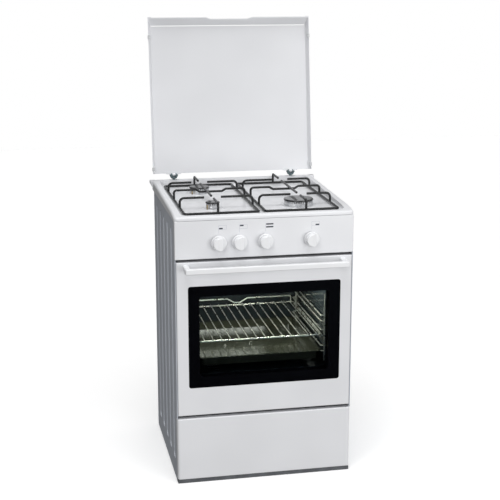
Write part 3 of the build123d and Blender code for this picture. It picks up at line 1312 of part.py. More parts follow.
def drawer_box():
    """The open box behind the front, with a lip along each side."""
    half = DRAWER_BOX_WIDTH / 2
    low = PLINTH_HEIGHT + DRAWER_BOX_LIFT
    high = low + DRAWER_BOX_HEIGHT
    front, rear = DRAWER_FRONT_DEPTH, DRAWER_BOX_REAR_Y
    wing = HALF - ENAMEL_SHEET
    shape = block(-half, half, front, rear, low, high)
    shape += block(-wing, wing, front - SHEET, front, PLINTH_HEIGHT + ENAMEL_SHEET, DRAWER_TOP - ENAMEL_SHEET)
    shape -= block(-half + SHEET, half - SHEET, front + SHEET, rear - SHEET, low + SHEET, high + 5)
    lip = RUNNER_Z + RUNNER_SHEET + SLIP
    for side in (-1, 1):
        x = side * half
        shape += block(x - side * SHEET, x + side * RUNNER_LIP, front + 6, rear, lip, lip + RUNNER_SHEET)
    return shape


def drawer_runners():
    """Two fixed channels against the ribs of the side panels."""
    outer = SIDE_IN - RIB_DEPTH
    inner = DRAWER_BOX_WIDTH / 2 + 6.0
    t = RUNNER_SHEET
    z = RUNNER_Z
    shape = block(inner, outer, DRAWER_FRONT_DEPTH + 4, DRAWER_BOX_REAR_Y + 5, z, z + RUNNER_HEIGHT)
    shape -= block(inner - 5, outer - t, 0, BODY_DEPTH, z + t, z + RUNNER_HEIGHT - t)
    shape -= block(inner - 5, inner + 12, 0, BODY_DEPTH, z + RUNNER_HEIGHT - t - 1, z + 50)
    return both_sides(shape)


# ---- The whole range -----------------------------------------------------------------------
def pan_supports():
    """Both supports, by name."""
    right = pan_support()
    return {"pan_support_left": mirror(right, about=Plane.YZ), "pan_support_right": right}


def pieces():
    """Every node, by name."""
    side = side_panel()
    rack = side_rack()
    small, medium, large = (burner_cap(*BURNERS[size]) for size in ("small", "medium", "large"))
    nodes = {
        "base_frame": base_frame(),
        "side_panel_left": mirror(side, about=Plane.YZ),
        "side_panel_right": side,
        "back_panel": back_panel(),
        "front_frame": front_frame(),
        "oven_liner": oven_liner(),
        "oven_insulation": oven_insulation(),
        "oven_seal": oven_seal(),
        "oven_floor_plate": oven_floor_plate(),
        "oven_burner": oven_burner(),
        "grill_burner": grill_burner(),
        "side_rack_left": mirror(rack, about=Plane.YZ),
        "side_rack_right": rack,
        "wire_shelf": wire_shelf(),
        "baking_tray": baking_tray(),
        "thermostat_bulb": thermostat_bulb(),
        "flue_duct": flue_duct(),
        "control_panel": control_panel(),
        "gas_rail": gas_rail(),
        "gas_inlet": gas_inlet(),
        "gas_taps": gas_taps(),
        "burner_cups": burner_cups(),
        "burner_heads": burner_heads(),
        "burner_cap_front_left": small,
        "burner_cap_rear_left": medium,
        "burner_cap_front_right": large,
        "hob_top": hob_top(),
        "burner_pipes": burner_pipes(),
        "thermocouples": thermocouples(),
        "lid_panel": opened(lid_panel()),
        "lid_hinge_brackets": opened(lid_hinge_brackets()),
        "lid_buffers": opened(lid_buffers()),
        "lid_hinge_cups": lid_hinge_cups(),
        "lid_hinge_pins": lid_hinge_pins(),
        "door_panel": door_panel(),
        "door_outer_glass": door_outer_glass(),
        "door_window_frame": door_window_frame(),
        "door_inner_glass": door_inner_glass(),
        "door_inner_liner": door_inner_liner(),
        "door_handle": door_handle(),
        "door_hinge_brackets": door_hinge_brackets(),
        "door_hinge_pins": door_hinge_pins(),
        "drawer_front": drawer_front(),
        "drawer_box": drawer_box(),
        "drawer_runners": drawer_runners(),
        "cabinet_screws": cabinet_screws(),
    }
    nodes.update(pan_supports())
    for name, x, y in foot_places():
        nodes[f"levelling_foot_{name}"] = levelling_foot(x, y)
    for name, x in KNOB_PLACES.items():
        nodes[f"tap_spindle_{name}"] = tap_spindle(x)
        nodes[f"knob_{name}"] = knob(x)
    return nodes


def main():
    os.makedirs("parts", exist_ok=True)
    for name, shape in pieces().items():
        save(name, shape)


main()
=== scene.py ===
import json
import math

import bmesh
import bpy
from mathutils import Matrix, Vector


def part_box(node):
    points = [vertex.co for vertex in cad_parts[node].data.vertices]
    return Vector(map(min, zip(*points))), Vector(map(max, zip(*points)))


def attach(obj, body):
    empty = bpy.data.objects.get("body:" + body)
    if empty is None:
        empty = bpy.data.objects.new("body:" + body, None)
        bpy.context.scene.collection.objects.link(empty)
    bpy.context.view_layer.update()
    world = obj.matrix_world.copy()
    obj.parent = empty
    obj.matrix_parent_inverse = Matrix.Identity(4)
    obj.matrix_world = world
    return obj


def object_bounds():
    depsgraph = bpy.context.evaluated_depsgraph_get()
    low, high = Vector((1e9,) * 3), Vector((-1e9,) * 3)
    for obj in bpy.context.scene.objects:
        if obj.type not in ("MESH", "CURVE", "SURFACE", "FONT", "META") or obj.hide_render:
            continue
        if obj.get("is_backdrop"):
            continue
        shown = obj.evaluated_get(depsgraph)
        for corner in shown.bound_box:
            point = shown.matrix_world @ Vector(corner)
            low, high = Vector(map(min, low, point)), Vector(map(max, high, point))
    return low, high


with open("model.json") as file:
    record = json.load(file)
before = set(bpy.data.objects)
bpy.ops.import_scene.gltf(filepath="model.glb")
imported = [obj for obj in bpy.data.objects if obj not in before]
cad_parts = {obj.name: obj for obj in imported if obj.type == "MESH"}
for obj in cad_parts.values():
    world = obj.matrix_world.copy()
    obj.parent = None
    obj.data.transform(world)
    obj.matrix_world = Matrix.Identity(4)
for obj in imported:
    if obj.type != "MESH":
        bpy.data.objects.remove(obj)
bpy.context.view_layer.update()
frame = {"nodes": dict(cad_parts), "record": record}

bl_info = {
    "name": "Freestanding gas range finishes",
    "version": (1, 0, 0),
    "blender": (4, 5, 0),
    "location": "View3D > Sidebar > Gas range",
    "description": "Gives the packed gas range its finishes and printed marks",
    "category": "Object",
}

MM = 0.001
MERGE_WITHIN = 0.001 * MM

KNOBS = ("front_left", "rear_left", "oven", "front_right")
SLOT_OF_NODE = {row["node"]: row["material_slot"] for row in frame["record"]["subparts"]}
# A node's finish where it isn't its slot's. The front frame's is nearly black and matte, partly
# painted shade so that the gaps around the door read black.
OWN_FINISH = {"front_frame": "frame_enamel_painted_shade"}

# The round corners of a printed patch, and how far the dark marks keep from what is beside them.
INK_CORNER = 0.15 * MM
MARK_FROM_POINTER = 2 * MM
MARK_FROM_LEFT = 1.5 * MM
MARK_FROM_RIGHT = 1 * MM
MARK_FROM_TOP = 1 * MM
MARK_FROM_BOTTOM = 0.8 * MM

# Each pane mirrors from both its faces, so its IOR is held low, and under the least glance, which
# is a Fresnel value, it mirrors nothing.
PANE_IOR = 1.14
PANE_LEAST_GLANCE = 0.006

# Real drawn lines are finer, but wouldn't show; the zinc's crystals are of their real size.
DRAWN_LINE_MM = 0.8
SPANGLE_MM = 14

# Places on the stage are in metres from the floor under the middle of the door's face.
CAMERA_FROM_DOOR = Vector((-0.6977, -3.2249, 1.5228))
CAMERA_ANGLES = (76.37, 0.0, -11.42)
SENSOR_WIDTH_MM = 36.0
TOP_LIGHT_FROM_DOOR = Vector((-0.5, -0.7, 3.0))
TOP_LIGHT_SPREAD = 40.0
# Each softbox: its name, its place, the point that it is turned to and its width.
SOFTBOXES = (
    ("key", Vector((-1.15, -1.4, 1.3)), Vector((0.0, 0.0, 0.4)), 0.4),
    ("fill", Vector((1.2, -2.5, 0.7)), Vector((0.0, 0.0, 0.4)), 0.9),
    ("lid", Vector((0.75, -0.9, 1.75)), Vector((0.2, 0.55, 1.3)), 0.5),
)
# The light in the oven hangs behind its mouth, under its ceiling, and is turned to the foot of its
# rear wall.
OVEN_LIGHT_SIZE = (0.34, 0.05)
OVEN_LIGHT_COLOUR = (1.0, 0.96, 0.80)
OVEN_LIGHT_BEHIND_MOUTH = 0.03
OVEN_LIGHT_UNDER_CEILING = 0.035
OVEN_LIGHT_AIM_HEIGHT = 0.1
# The way that the light from all round comes from at its strongest.
WORLD_LEAN = (0.75, -0.35, 0.25)
FLOOR_REACH = 7.0
# The floor's own faint light hides the line where it meets the background.
FLOOR_GLOW = 0.2


# ---- Colours, nodes and patterns -------------------------------------------------------------
def linear(hex_colour):
    """A linear RGBA colour from an sRGB hex string."""
    values = [int(hex_colour[i:i + 2], 16) / 255 for i in (1, 3, 5)]
    curve = [v / 12.92 if v <= 0.04045 else ((v + 0.055) / 1.055) ** 2.4 for v in values]
    return (*curve, 1.0)


def chosen(name):
    """A colour that the user set."""
    return tuple(getattr(bpy.context.scene.range_colours, name))


def shade(colour, factor):
    """A colour made lighter or darker."""
    return (*(min(1.0, channel * factor) for channel in colour[:3]), 1.0)


def add_node(owner, kind, settings=(), links=()):
    """Adds a node, sets its values by socket or property name, and links sources to its sockets."""
    tree = owner.node_tree
    made = tree.nodes.new(kind)
    for key, value in dict(settings).items():
        if isinstance(key, str) and hasattr(made, key):
            setattr(made, key, value)
        else:
            made.inputs[key].default_value = value
    for key, source in dict(links).items():
        tree.links.new(source, made.inputs[key])
    return made


def new_material(name, colour, **shader):
    """A material with its Principled shader set from constants; returns it and its shader."""
    material = bpy.data.materials.new(name)
    material.use_nodes = True
    base = material.node_tree.nodes["Principled BSDF"]
    tone = colour if isinstance(colour, tuple) else linear(colour)
    base.inputs["Base Color"].default_value = tone
    for key, value in shader.items():
        base.inputs[key.replace("_", " ")].default_value = value
    return material, base


def blotches(material, size_mm, detail=2.0, roughness=0.5, squash=None):
    """A soft pattern, size_mm across, drawn out along an axis where squash is under 1."""
    where = add_node(material, "ShaderNodeTexCoord").outputs["Object"]
    if squash:
        turned = add_node(material, "ShaderNodeMapping", {"Scale": squash}, {"Vector": where})
        where = turned.outputs["Vector"]
    settings = {"Scale": 1.0 / (size_mm * MM), "Detail": detail, "Roughness": roughness}
    return add_node(material, "ShaderNodeTexNoise", settings, {"Vector": where}).outputs["Fac"]


def mottle(material, base, pattern, dark, light, low=0.3, high=0.7, socket="Base Color"):
    """Lets the shader's colour wander between two tones as a pattern goes from low to high."""
    ramp = add_node(material, "ShaderNodeValToRGB", {}, {"Fac": pattern})
    for stop, level, tone in zip(ramp.color_ramp.elements, (low, high), (dark, light)):
        stop.position = level
        stop.color = tone
    material.node_tree.links.new(ramp.outputs["Color"], base.inputs[socket])


def uneven_gloss(material, base, pattern, least, most, low=0.35, high=0.65):
    """Lets the shader's roughness wander between two values as a pattern goes from low to high."""
    smooth, rough = ((value, value, value, 1.0) for value in (least, most))
    mottle(material, base, pattern, smooth, rough, low, high, "Roughness")


def grain(material, base, pattern, depth_mm, strength=1.0):
    """Raises the surface by a pattern."""
    settings = {"Strength": strength, "Distance": depth_mm * MM}
    raised = add_node(material, "ShaderNodeBump", settings, {"Height": pattern})
    material.node_tree.links.new(raised.outputs["Normal"], base.inputs["Normal"])


# ---- Finishes --------------------------------------------------------------------------------
def white_enamel():
    """Vitreous enamel, sprayed and fired on steel: a hard gloss with a faint orange peel."""
    white = chosen("enamel")
    material, base = new_material("vitreous_enamel_white", white, Roughness=0.3,
                                  Coat_Weight=0.15, Coat_Roughness=0.1)
    mottle(material, base, blotches(material, 180, 1.0), shade(white, 0.97), shade(white, 1.02))
    grain(material, base, blotches(material, 5.0, 1.0), 0.03, 0.2)
    return material


def side_enamel():
    """Thinner enamel on the pressed side panels: greyer, satin, with a finer and deeper peel."""
    pale = chosen("side")
    material, base = new_material("vitreous_enamel_side", pale, Roughness=0.5,
                                  Specular_IOR_Level=0.35)
    mottle(material, base, blotches(material, 140, 1.0), shade(pale, 0.95), shade(pale, 1.04))
    grain(material, base, blotches(material, 2.5, 1.0), 0.03, 0.3)
    return material


def dark_enamel():
    """Ground-coat enamel on the oven's walls: near black and glossy, with grey flecks of frit."""
    material, base = new_material("ground_coat_enamel_flecked", "#24292B", Roughness=0.1)
    mottle(material, base, blotches(material, 2.4, 0.0), linear("#202528"), linear("#3C4244"),
           low=0.7, high=0.8)
    grain(material, base, blotches(material, 3.0, 1.0), 0.03, 0.25)
    return material


def frame_enamel_painted_shade():
    """Ground-coat enamel on the plate behind the door: nearly black and matte, partly painted shade
    that keeps the gaps around the door black.
    """
    material, base = new_material("ground_coat_enamel_matte", "#0B0C0E", Roughness=0.7,
                                  Specular_IOR_Level=0.15)
    mottle(material, base, blotches(material, 30), linear("#08090A"), linear("#101114"))
    grain(material, base, blotches(material, 2.0), 0.03, 0.3)
    return material


def tray_enamel():
    """Enamel on the baking tray: olive black and glossy, with larger and fewer flecks."""
    material, base = new_material("ground_coat_enamel_tray", "#34352C", Roughness=0.1)
    mottle(material, base, blotches(material, 3.2, 0.0), linear("#303128"), linear("#4C4E44"),
           low=0.72, high=0.82)
    grain(material, base, blotches(material, 3.0, 1.0), 0.03, 0.25)
    return material


def black_frame():
    """Black enamel baked on the window frame behind the glass, smooth and a little soft."""
    material, base = new_material("stoving_enamel_black", "#040409", Roughness=0.5,
                                  Specular_IOR_Level=0.05)
    mottle(material, base, blotches(material, 60, 1.0), linear("#030308"), linear("#06060C"))
    grain(material, base, blotches(material, 1.5), 0.01, 0.2)
    return material


def black_wire():
    """Black enamel dipped on the wire supports: thick, half glossy and uneven where it ran."""
    material, base = new_material("dipped_enamel_black", "#0A0B0E", Roughness=0.34,
                                  Coat_Weight=0.08)
    uneven_gloss(material, base, blotches(material, 12), 0.24, 0.42)
    mottle(material, base, blotches(material, 8), linear("#08090B"), linear("#101215"))
    grain(material, base, blotches(material, 5.0), 0.15, 0.4)
    return material


def black_cap():
    """Glossy enamel on the burner caps, with the sandy grain of the iron under it."""
    material, base = new_material("enamel_on_iron", "#1A1B1E", Roughness=0.24,
                                  Coat_Weight=0.5, Coat_Roughness=0.08)
    mottle(material, base, blotches(material, 6), linear("#141518"), linear("#222427"))
    grain(material, base, blotches(material, 0.9, 3.0), 0.02, 0.4)
    return material


def plinth_dark():
    """Grey primer on the folded base frame, dull and dusty."""
    material, base = new_material("primer_grey", "#5C5F63", Roughness=0.6)
    mottle(material, base, blotches(material, 25, 3.0), linear("#505357"), linear("#66696D"))
    grain(material, base, blotches(material, 2.0, 3.0), 0.03, 0.3)
    return material


def galvanised():
    """Hot-dip galvanised sheet: grey metal in crystals, each with a sheen of its own."""
    material, base = new_material("galvanised_sheet", "#A9AEB1", Metallic=1.0, Roughness=0.42)
    where = add_node(material, "ShaderNodeTexCoord").outputs["Object"]
    cells = add_node(material, "ShaderNodeTexVoronoi", {"Scale": 1.0 / (SPANGLE_MM * MM)},
                     {"Vector": where}).outputs["Color"]
    mottle(material, base, cells, linear("#9EA3A7"), linear("#B6BABC"), low=0.2, high=0.8)
    uneven_gloss(material, base, cells, 0.34, 0.52, low=0.2, high=0.8)
    return material


def drawn_metal(name, dark, light, roughness, squash):
    """Metal drawn or rolled along one axis: fine lines with a streaky sheen."""
    material, base = new_material(name, light, Metallic=1.0, Roughness=roughness)
    lines = blotches(material, DRAWN_LINE_MM, 2.0, 0.6, squash)
    mottle(material, base, lines, linear(dark), linear(light))
    uneven_gloss(material, base, lines, roughness * 0.8, roughness * 1.25, low=0.3, high=0.7)
    return material


def bare_steel():
    """Cold-rolled steel, oiled grey, with the lines of the mill along its length."""
    return drawn_metal("cold_rolled_steel", "#8B8D8F", "#A5A7A9", 0.4, (0.05, 1.0, 1.0))


def pipe_alloy():
    """Drawn aluminium tube: pale, soft sheen, with drawing lines along it."""
    return drawn_metal("drawn_aluminium_tube", "#B9BBBE", "#D2D3D5", 0.32, (0.05, 0.05, 1.0))


def zinc_plate():
    """Zinc plate on small steel parts: bluish, bright, slightly clouded."""
    material, base = new_material("zinc_plated_steel", "#AEB9BC", Metallic=1.0, Roughness=0.3)
    mottle(material, base, blotches(material, 6), linear("#A0ACAF"), linear("#BEC8CA"))
    uneven_gloss(material, base, blotches(material, 9), 0.22, 0.4, low=0.3, high=0.7)
    return material


def zinc_cast():
    """Zinc die casting: blue grey, softly mottled, with a fine sandy skin."""
    material, base = new_material("zinc_die_cast", "#7C8C90", Metallic=1.0, Roughness=0.38)
    mottle(material, base, blotches(material, 5), linear("#66767A"), linear("#8E9EA1"))
    grain(material, base, blotches(material, 1.0), 0.04, 0.4)
    return material


def chromed_wire():
    """Chrome over drawn wire: bright and a little warm, with a soft and blotchy polish."""
    material, base = new_material("chrome_plated_wire", "#CFCEC4", Metallic=0.8, Roughness=0.3)
    uneven_gloss(material, base, blotches(material, 20), 0.24, 0.4)
    return material


def bright_screw():
    """Nickel plate on the screws: bright and slightly warm."""
    material, base = new_material("nickel_plated_screw", "#CFCDC8", Metallic=1.0, Roughness=0.22)
    uneven_gloss(material, base, blotches(material, 3), 0.15, 0.3)
    return material


def copper_brass():
    """Machined brass, dulled and paled by heat."""
    material, base = new_material("machined_brass", "#A8977A", Metallic=1.0, Roughness=0.35)
    mottle(material, base, blotches(material, 6), linear("#8C7A5E"), linear("#C2B295"))
    return material


def burner_alloy():
    """Cast aluminium burner heads: pale silver, softly clouded, with a sandy grain."""
    material, base = new_material("cast_aluminium", "#E2E3E5", Metallic=0.55, Roughness=0.22)
    mottle(material, base, blotches(material, 9), linear("#B4B6BA"), linear("#F2F3F4"))
    grain(material, base, blotches(material, 0.7, 3.0), 0.04, 0.5)
    return material


def tap_alloy():
    """Pressure-cast aluminium tap bodies, tumbled smooth."""
    material, base = new_material("pressure_cast_aluminium", "#C2C4C6", Metallic=1.0,
                                  Roughness=0.3)
    mottle(material, base, blotches(material, 4), linear("#B4B6B9"), linear("#CFD1D3"))
    return material


def door_glass():
    """Toughened float glass: clear to look through, and a mirror at a glancing view."""
    material, mirror = new_material("float_glass_toughened", "#F4F8F8", Metallic=1.0,
                                    Roughness=0.03)
    clear = add_node(material, "ShaderNodeBsdfTransparent", {"Color": chosen("glass")})
    edge = add_node(material, "ShaderNodeFresnel", {"IOR": PANE_IOR})
    glance = add_node(material, "ShaderNodeMapRange", {"From Min": PANE_LEAST_GLANCE},
                      {"Value": edge.outputs["Fac"]})
    pane = add_node(material, "ShaderNodeMixShader", {},
                    {0: glance.outputs["Result"], 1: clear.outputs["BSDF"],
                     2: mirror.outputs["BSDF"]})
    output = material.node_tree.nodes["Material Output"]
    material.node_tree.links.new(pane.outputs["Shader"], output.inputs["Surface"])
    return material


def mineral_wool():
    """Mineral wool: matted straw-coloured fibres."""
    material, base = new_material("mineral_wool_matted", "#B8A878", Roughness=0.95)
    mottle(material, base, blotches(material, 8, 6.0, 0.7), linear("#9C8C5E"), linear("#CDBE8E"))
    grain(material, base, blotches(material, 3.0, 6.0, 0.7), 1.0, 0.8)
    return material


def seal_cord():
    """Braided glass-fibre cord, charcoal, with strands about 2 mm apart."""
    material, base = new_material("glass_fibre_braid", "#33363A", Roughness=0.85)
    mottle(material, base, blotches(material, 2.0), linear("#25282B"), linear("#44484C"))
    grain(material, base, blotches(material, 2.0), 0.4, 0.8)
    return material


def buffer_rubber():
    """Moulded silicone rubber, pale and dull."""
    material, base = new_material("silicone_rubber_moulded", "#D4D6D8", Roughness=0.6)
    mottle(material, base, blotches(material, 5), linear("#CACCCE"), linear("#DCDEDF"))
    grain(material, base, blotches(material, 1.0), 0.02, 0.3)
    return material


def foot_moulding():
    """Black polypropylene on the feet, with an even moulded grain."""
    material, base = new_material("polypropylene_black", "#1B1C1E", Roughness=0.5)
    mottle(material, base, blotches(material, 10), linear("#17181A"), linear("#222326"))
    grain(material, base, blotches(material, 1.2), 0.03, 0.4)
    return material


def white_moulding():
    """White thermoset moulding on the knobs and handle: smooth and glossy."""
    white = chosen("moulding")
    material, base = new_material("thermoset_moulding_white", white, Roughness=0.28,
                                  Coat_Weight=0.15)
    mottle(material, base, blotches(material, 50, 1.0), shade(white, 0.98), shade(white, 1.01))
    grain(material, base, blotches(material, 1.4), 0.01, 0.25)
    return material


def print_ink():
    """Ceramic ink screen-printed and fired: matte, with the mesh's slight unevenness."""
    ink = chosen("ink")
    material, base = new_material("ceramic_ink_fired", ink, Roughness=0.5)
    mottle(material, base, blotches(material, 1.5), shade(ink, 0.85), shade(ink, 1.15))
    return material


def thin_ink():
    """The same ink laid thin, so that the white shows through it."""
    pale = chosen("thin_ink")
    material, base = new_material("ceramic_ink_thin", pale, Roughness=0.4)
    mottle(material, base, blotches(material, 1.5), shade(pale, 0.96), shade(pale, 1.04))
    return material


FINISHES = {made.__name__: made for made in (
    white_enamel, side_enamel, dark_enamel, frame_enamel_painted_shade, tray_enamel, black_frame, black_wire,
    black_cap, plinth_dark, galvanised, bare_steel, pipe_alloy, zinc_plate, zinc_cast,
    chromed_wire, bright_screw, copper_brass, burner_alloy, tap_alloy, door_glass, mineral_wool,
    seal_cord, buffer_rubber, foot_moulding, white_moulding, print_ink, thin_ink)}
MADE = {}


def finish(name):
    """The material of that finish, made the first time that it is asked for."""
    if name not in MADE:
        MADE[name] = FINISHES[name]()
    return MADE[name]


def dress(*names):
    """Gives CAD nodes their finish; a name stands for all the nodes that start with it."""
    for node, piece in frame["nodes"].items():
        if node.startswith(names):
            for holder in piece.material_slots:
                holder.material = finish(OWN_FINISH.get(node, SLOT_OF_NODE[node]))


# ---- Printed marks ---------------------------------------------------------------------------
def new_piece(name, shape, body, look):
    """Makes a bmesh a piece of the object, with its finish, body and slot."""
    bmesh.ops.remove_doubles(shape, verts=shape.verts, dist=MERGE_WITHIN)
    bmesh.ops.recalc_face_normals(shape, faces=shape.faces)
    mesh = bpy.data.meshes.new(name)
    shape.to_mesh(mesh)
    shape.free()
    piece = bpy.data.objects.new(name, mesh)
    bpy.context.scene.collection.objects.link(piece)
    mesh.materials.append(finish(look))
    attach(piece, body)


def printed_patch(shape, across, up, face_y, thickness):
    """Adds a patch of ink over a range of x and of z, standing on a face that looks towards -Y."""
    corners = [shape.verts.new((x, face_y, z)) for x, z in
               ((across[0], up[0]), (across[1], up[0]), (across[1], up[1]), (across[0], up[1]))]
    raised = bmesh.ops.extrude_face_region(shape, geom=[shape.faces.new(corners)])
    lifted = [item for item in raised["geom"] if isinstance(item, bmesh.types.BMVert)]
    bmesh.ops.translate(shape, verts=lifted, vec=(0, -thickness, 0))
    upright = [edge for edge in shape.edges
               if set(edge.verts) & set(lifted) and set(edge.verts) & set(corners)]
    bmesh.ops.bevel(shape, geom=upright, offset=INK_CORNER, offset_type="OFFSET", segments=2,
                    profile=0.5, affect="EDGES", material=-1)


# ---- Sizes and colours that a user would change ----------------------------------------------
def colour_property(name, description, hex_colour):
    """A colour with its default."""
    return bpy.props.FloatVectorProperty(name=name, description=description, subtype="COLOR",
                                         size=4, min=0.0, max=1.0, default=linear(hex_colour))


def length_property(name, description, millimetres):
    """A length with its default."""
    return bpy.props.FloatProperty(name=name, description=description, unit="LENGTH", min=0.0,
                                   default=millimetres * MM, precision=4)


def light_property(name, description, strength):
    """The strength of a light with its default."""
    return bpy.props.FloatProperty(name=name, description=description, min=0.0, default=strength)


class RangeColours(bpy.types.PropertyGroup):
    """Colours of the finishes."""
    enamel: colour_property("Enamel", "Enamel of the front, hob and lid", "#EEEFF2")
    side: colour_property("Side panels", "Enamel of the side panels", "#C6CBD3")
    moulding: colour_property("Mouldings", "Knobs and door handle", "#F5F6F8")
    glass: colour_property("Glass tint", "Colour seen through one pane of the door", "#EDF0F2")
    ink: colour_property("Ink", "Dark marks on the control panel", "#2C303E")
    thin_ink: colour_property("Thin ink", "Faint lines on the control panel", "#C6C9D2")


class RangeMarks(bpy.types.PropertyGroup):
    """Sizes of the marks printed above the knobs."""
    drop: length_property("Drop", "From the top of the control panel down to the marks", 15.6)
    line: length_property("Line width", "Width of the faint lines", 0.7)
    pointer: length_property("Pointer height", "Height of the faint line above each knob", 24.0)
    field_width: length_property("Field width", "Width of the field beside each line", 24.0)
    field_height: length_property("Field height", "Height of the field beside each line", 12.5)
    bar_width: length_property("Mark width", "Width of a dark mark in its field", 11.0)
    bar_height: length_property("Mark height", "Height of a dark mark", 4.0)
    ink: length_property("Ink thickness", "How far the fired ink stands on the enamel", 0.1)


class RangeStage(bpy.types.PropertyGroup):
    """Floor, lights and camera."""
    floor: colour_property("Floor", "Colour of the floor", "#FFFFFF")
    lens: bpy.props.FloatProperty(name="Lens", description="Focal length on a 36 mm sensor",
                                  min=20.0, max=200.0, default=82.76, subtype="DISTANCE_CAMERA")
    ambient: light_property("Ambient", "Strength of the light from all round", 0.335)
    sun: light_property("Top light", "Strength of the broad light overhead", 1.5)
    key: light_property("Key light", "Power of the softbox at the front left", 5.0)
    fill: light_property("Fill light", "Power of the softbox at the front right", 17.0)
    lid: light_property("Lid light", "Power of the softbox at the top right", 1.5)
    oven: light_property("Oven light", "Power of the light inside the oven", 4.2)


# ---- Operators -------------------------------------------------------------------------------
class RANGE_OT_casing(bpy.types.Operator):
    """Finish the side and back panels, base frame, feet and screws"""
    bl_idname = "range.casing"
    bl_label = "Casing"

    def execute(self, context):
        dress("side_panel", "back_panel", "base_frame", "levelling_foot", "cabinet_screws")
        return {"FINISHED"}


class RANGE_OT_oven(bpy.types.Operator):
    """Finish the oven, its racks, shelf, tray, burners and flue"""
    bl_idname = "range.oven"
    bl_label = "Oven"

    def execute(self, context):
        dress("front_frame", "oven_", "grill_burner", "side_rack", "wire_shelf", "baking_tray",
              "thermostat_bulb", "flue_duct")
        return {"FINISHED"}


class RANGE_OT_hob(bpy.types.Operator):
    """Finish the hob, its burners and what feeds them"""
    bl_idname = "range.hob"
    bl_label = "Hob and burners"

    def execute(self, context):
        dress("hob_top", "burner_", "thermocouples")
        return {"FINISHED"}


class RANGE_OT_supports(bpy.types.Operator):
    """Finish the wire supports for pans"""
    bl_idname = "range.supports"
    bl_label = "Pan supports"

    def execute(self, context):
        dress("pan_support")
        return {"FINISHED"}


class RANGE_OT_controls(bpy.types.Operator):
    """Finish the control panel, gas rail, taps and knobs"""
    bl_idname = "range.controls"
    bl_label = "Controls"

    def execute(self, context):
        dress("control_panel", "gas_", "tap_spindle", "knob_")
        return {"FINISHED"}


class RANGE_OT_marks(bpy.types.Operator):
    """Print a faint line, a field and a dark mark above each knob"""
    bl_idname = "range.marks"
    bl_label = "Printed marks"

    def execute(self, context):
        sizes = context.scene.range_marks
        low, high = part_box("control_panel")
        face_y, top = low[1], high[2] - sizes.drop
        bottom = top - sizes.field_height
        for knob in KNOBS:
            low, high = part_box("knob_" + knob)
            left = (low[0] + high[0]) / 2
            right = left + sizes.field_width
            lines = [((left, left + sizes.line), (top - sizes.pointer, top))]
            if knob == "oven":
                across = (left + MARK_FROM_POINTER, right)
                levels = (top, bottom + sizes.bar_height)
            else:
                lines.append(((right - sizes.line, right), (bottom, top)))
                lines += [((left + sizes.line, right - sizes.line), (level - sizes.line, level))
                          for level in (top, bottom + sizes.line)]
                start = left + MARK_FROM_LEFT
                if knob == "front_right":
                    start = right - sizes.bar_width - MARK_FROM_RIGHT
                across = (start, start + sizes.bar_width)
                levels = (bottom + sizes.bar_height + MARK_FROM_BOTTOM,)
                if knob == "rear_left":
                    levels = (top - MARK_FROM_TOP,)
            marks = [(across, (level - sizes.bar_height, level)) for level in levels]
            for name, patches, look in (("pointer_and_field_", lines, "thin_ink"),
                                        ("dark_mark_", marks, "print_ink")):
                shape = bmesh.new()
                for patch in patches:
                    printed_patch(shape, *patch, face_y, sizes.ink)
                new_piece(name + knob, shape, "cabinet", look)
        return {"FINISHED"}


class RANGE_OT_lid(bpy.types.Operator):
    """Finish the lid, its hinges and its buffers"""
    bl_idname = "range.lid"
    bl_label = "Lid"

    def execute(self, context):
        dress("lid_")
        return {"FINISHED"}


class RANGE_OT_door(bpy.types.Operator):
    """Finish the oven door, its panes, frame and handle"""
    bl_idname = "range.door"
    bl_label = "Oven door"

    def execute(self, context):
        dress("door_")
        return {"FINISHED"}


class RANGE_OT_drawer(bpy.types.Operator):
    """Finish the drawer and its runners"""
    bl_idname = "range.drawer"
    bl_label = "Drawer"

    def execute(self, context):
        dress("drawer_")
        return {"FINISHED"}


class RANGE_OT_stage(bpy.types.Operator):
    """Lay the floor and set the lights and the camera"""
    bl_idname = "range.stage"
    bl_label = "Stage"

    def execute(self, context):
        stage = context.scene.range_stage
        low, high = (Vector(corner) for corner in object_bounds())
        doorstep = Vector(((low.x + high.x) / 2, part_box("door_panel")[0][1], low.z))
        lay_floor(stage.floor, doorstep)
        light_world(stage.ambient)
        sun = bpy.data.lights.new("top_light", "SUN")
        sun.energy = stage.sun
        sun.angle = math.radians(TOP_LIGHT_SPREAD)
        top_light = bpy.data.objects.new("top_light", sun)
        aim(place(top_light, doorstep + TOP_LIGHT_FROM_DOOR), doorstep)
        for name, where, towards, width in SOFTBOXES:
            area_light(name + "_light", doorstep + where, doorstep + towards, (width, width),
                       getattr(stage, name))
        low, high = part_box("oven_liner")
        middle = (low[0] + high[0]) / 2
        area_light("oven_light",
                   (middle, low[1] + OVEN_LIGHT_BEHIND_MOUTH, high[2] - OVEN_LIGHT_UNDER_CEILING),
                   (middle, high[1], low[2] + OVEN_LIGHT_AIM_HEIGHT),
                   OVEN_LIGHT_SIZE, stage.oven, OVEN_LIGHT_COLOUR)
        camera = bpy.data.cameras.new("camera")
        camera.lens = stage.lens
        camera.sensor_width = SENSOR_WIDTH_MM
        seen = place(bpy.data.objects.new("camera", camera), doorstep + CAMERA_FROM_DOOR)
        seen.rotation_euler = [math.radians(angle) for angle in CAMERA_ANGLES]
        context.scene.camera = seen
        context.scene.view_settings.view_transform = "Standard"
        return {"FINISHED"}


# ---- Floor and lights ------------------------------------------------------------------------
def place(obj, where):
    """Links an object to the scene at a point."""
    obj.location = where
    bpy.context.scene.collection.objects.link(obj)
    return obj


def aim(obj, towards):
    """Turns a light towards a point."""
    obj.rotation_euler = (Vector(towards) - obj.location).to_track_quat("-Z", "Y").to_euler()


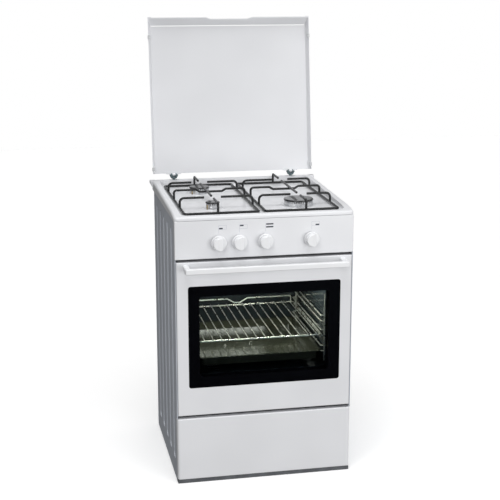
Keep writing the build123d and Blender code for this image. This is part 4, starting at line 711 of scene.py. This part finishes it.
def area_light(name, where, towards, size, power, colour=(1.0, 1.0, 1.0)):
    """A soft light at a point, turned towards another; its size is its width and depth."""
    lamp = bpy.data.lights.new(name, "AREA")
    lamp.shape = "RECTANGLE"
    lamp.energy = power
    lamp.color = colour
    lamp.size, lamp.size_y = size
    aim(place(bpy.data.objects.new(name, lamp), where), towards)


def light_world(strength):
    """Pale light that is stronger from the right, the front and above; seen, it is white."""
    world = bpy.data.worlds.new("studio")
    world.use_nodes = True
    bpy.context.scene.world = world
    where = add_node(world, "ShaderNodeTexCoord").outputs["Generated"]
    lean = add_node(world, "ShaderNodeVectorMath", {"operation": "DOT_PRODUCT", 1: WORLD_LEAN},
                    {0: where})
    uneven = add_node(world, "ShaderNodeMapRange", {"From Min": -1.0, "To Max": 2 * strength},
                      {"Value": lean.outputs["Value"]})
    seen = add_node(world, "ShaderNodeLightPath").outputs["Is Camera Ray"]
    level = add_node(world, "ShaderNodeMix", {"B": 1.0},
                     {"Factor": seen, "A": uneven.outputs["Result"]})
    background = world.node_tree.nodes["Background"]
    background.inputs["Color"].default_value = (1.0, 1.0, 1.0, 1.0)
    world.node_tree.links.new(level.outputs["Result"], background.inputs["Strength"])


def lay_floor(colour, middle):
    """A wide pale floor of smooth plaster, which throws no light back on the range."""
    shape = bmesh.new()
    bmesh.ops.create_grid(shape, x_segments=1, y_segments=1, size=FLOOR_REACH)
    bmesh.ops.translate(shape, verts=shape.verts, vec=middle)
    mesh = bpy.data.meshes.new("floor")
    shape.to_mesh(mesh)
    shape.free()
    floor = bpy.data.objects.new("floor", mesh)
    bpy.context.scene.collection.objects.link(floor)
    floor.visible_diffuse = False
    floor.visible_glossy = False
    pale = tuple(colour)
    material, base = new_material("smooth_plaster_pale", pale, Roughness=0.7,
                                  Emission_Color=pale, Emission_Strength=FLOOR_GLOW)
    mottle(material, base, blotches(material, 400, 1.0), shade(pale, 0.99), shade(pale, 1.0))
    mesh.materials.append(material)
    floor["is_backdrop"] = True


# ---- Panel, registration and running ---------------------------------------------------------
OPERATORS = (RANGE_OT_casing, RANGE_OT_oven, RANGE_OT_hob, RANGE_OT_supports, RANGE_OT_controls,
             RANGE_OT_marks, RANGE_OT_lid, RANGE_OT_door, RANGE_OT_drawer, RANGE_OT_stage)
GROUPS = {"range_colours": RangeColours, "range_marks": RangeMarks, "range_stage": RangeStage}


class RANGE_PT_panel(bpy.types.Panel):
    """Lists the range's groups of pieces, with their sizes and colours"""
    bl_idname = "RANGE_PT_panel"
    bl_label = "Gas range"
    bl_space_type = "VIEW_3D"
    bl_region_type = "UI"
    bl_category = "Gas range"

    def draw(self, context):
        for operator in OPERATORS:
            self.layout.operator(operator.bl_idname)
        for name, group in GROUPS.items():
            for value in group.__annotations__:
                self.layout.prop(getattr(context.scene, name), value)


def register():
    """Registers the classes and puts the settings on the scene."""
    for made in (*GROUPS.values(), *OPERATORS, RANGE_PT_panel):
        bpy.utils.register_class(made)
    for name, group in GROUPS.items():
        setattr(bpy.types.Scene, name, bpy.props.PointerProperty(type=group))


def unregister():
    """Takes the settings and the classes away."""
    for name in GROUPS:
        delattr(bpy.types.Scene, name)
    for made in (RANGE_PT_panel, *OPERATORS, *GROUPS.values()):
        bpy.utils.unregister_class(made)


def main():
    """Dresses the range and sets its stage."""
    register()
    for operator in OPERATORS:
        group, name = operator.bl_idname.split(".")
        getattr(getattr(bpy.ops, group), name)()


if __name__ == "__main__":
    main()
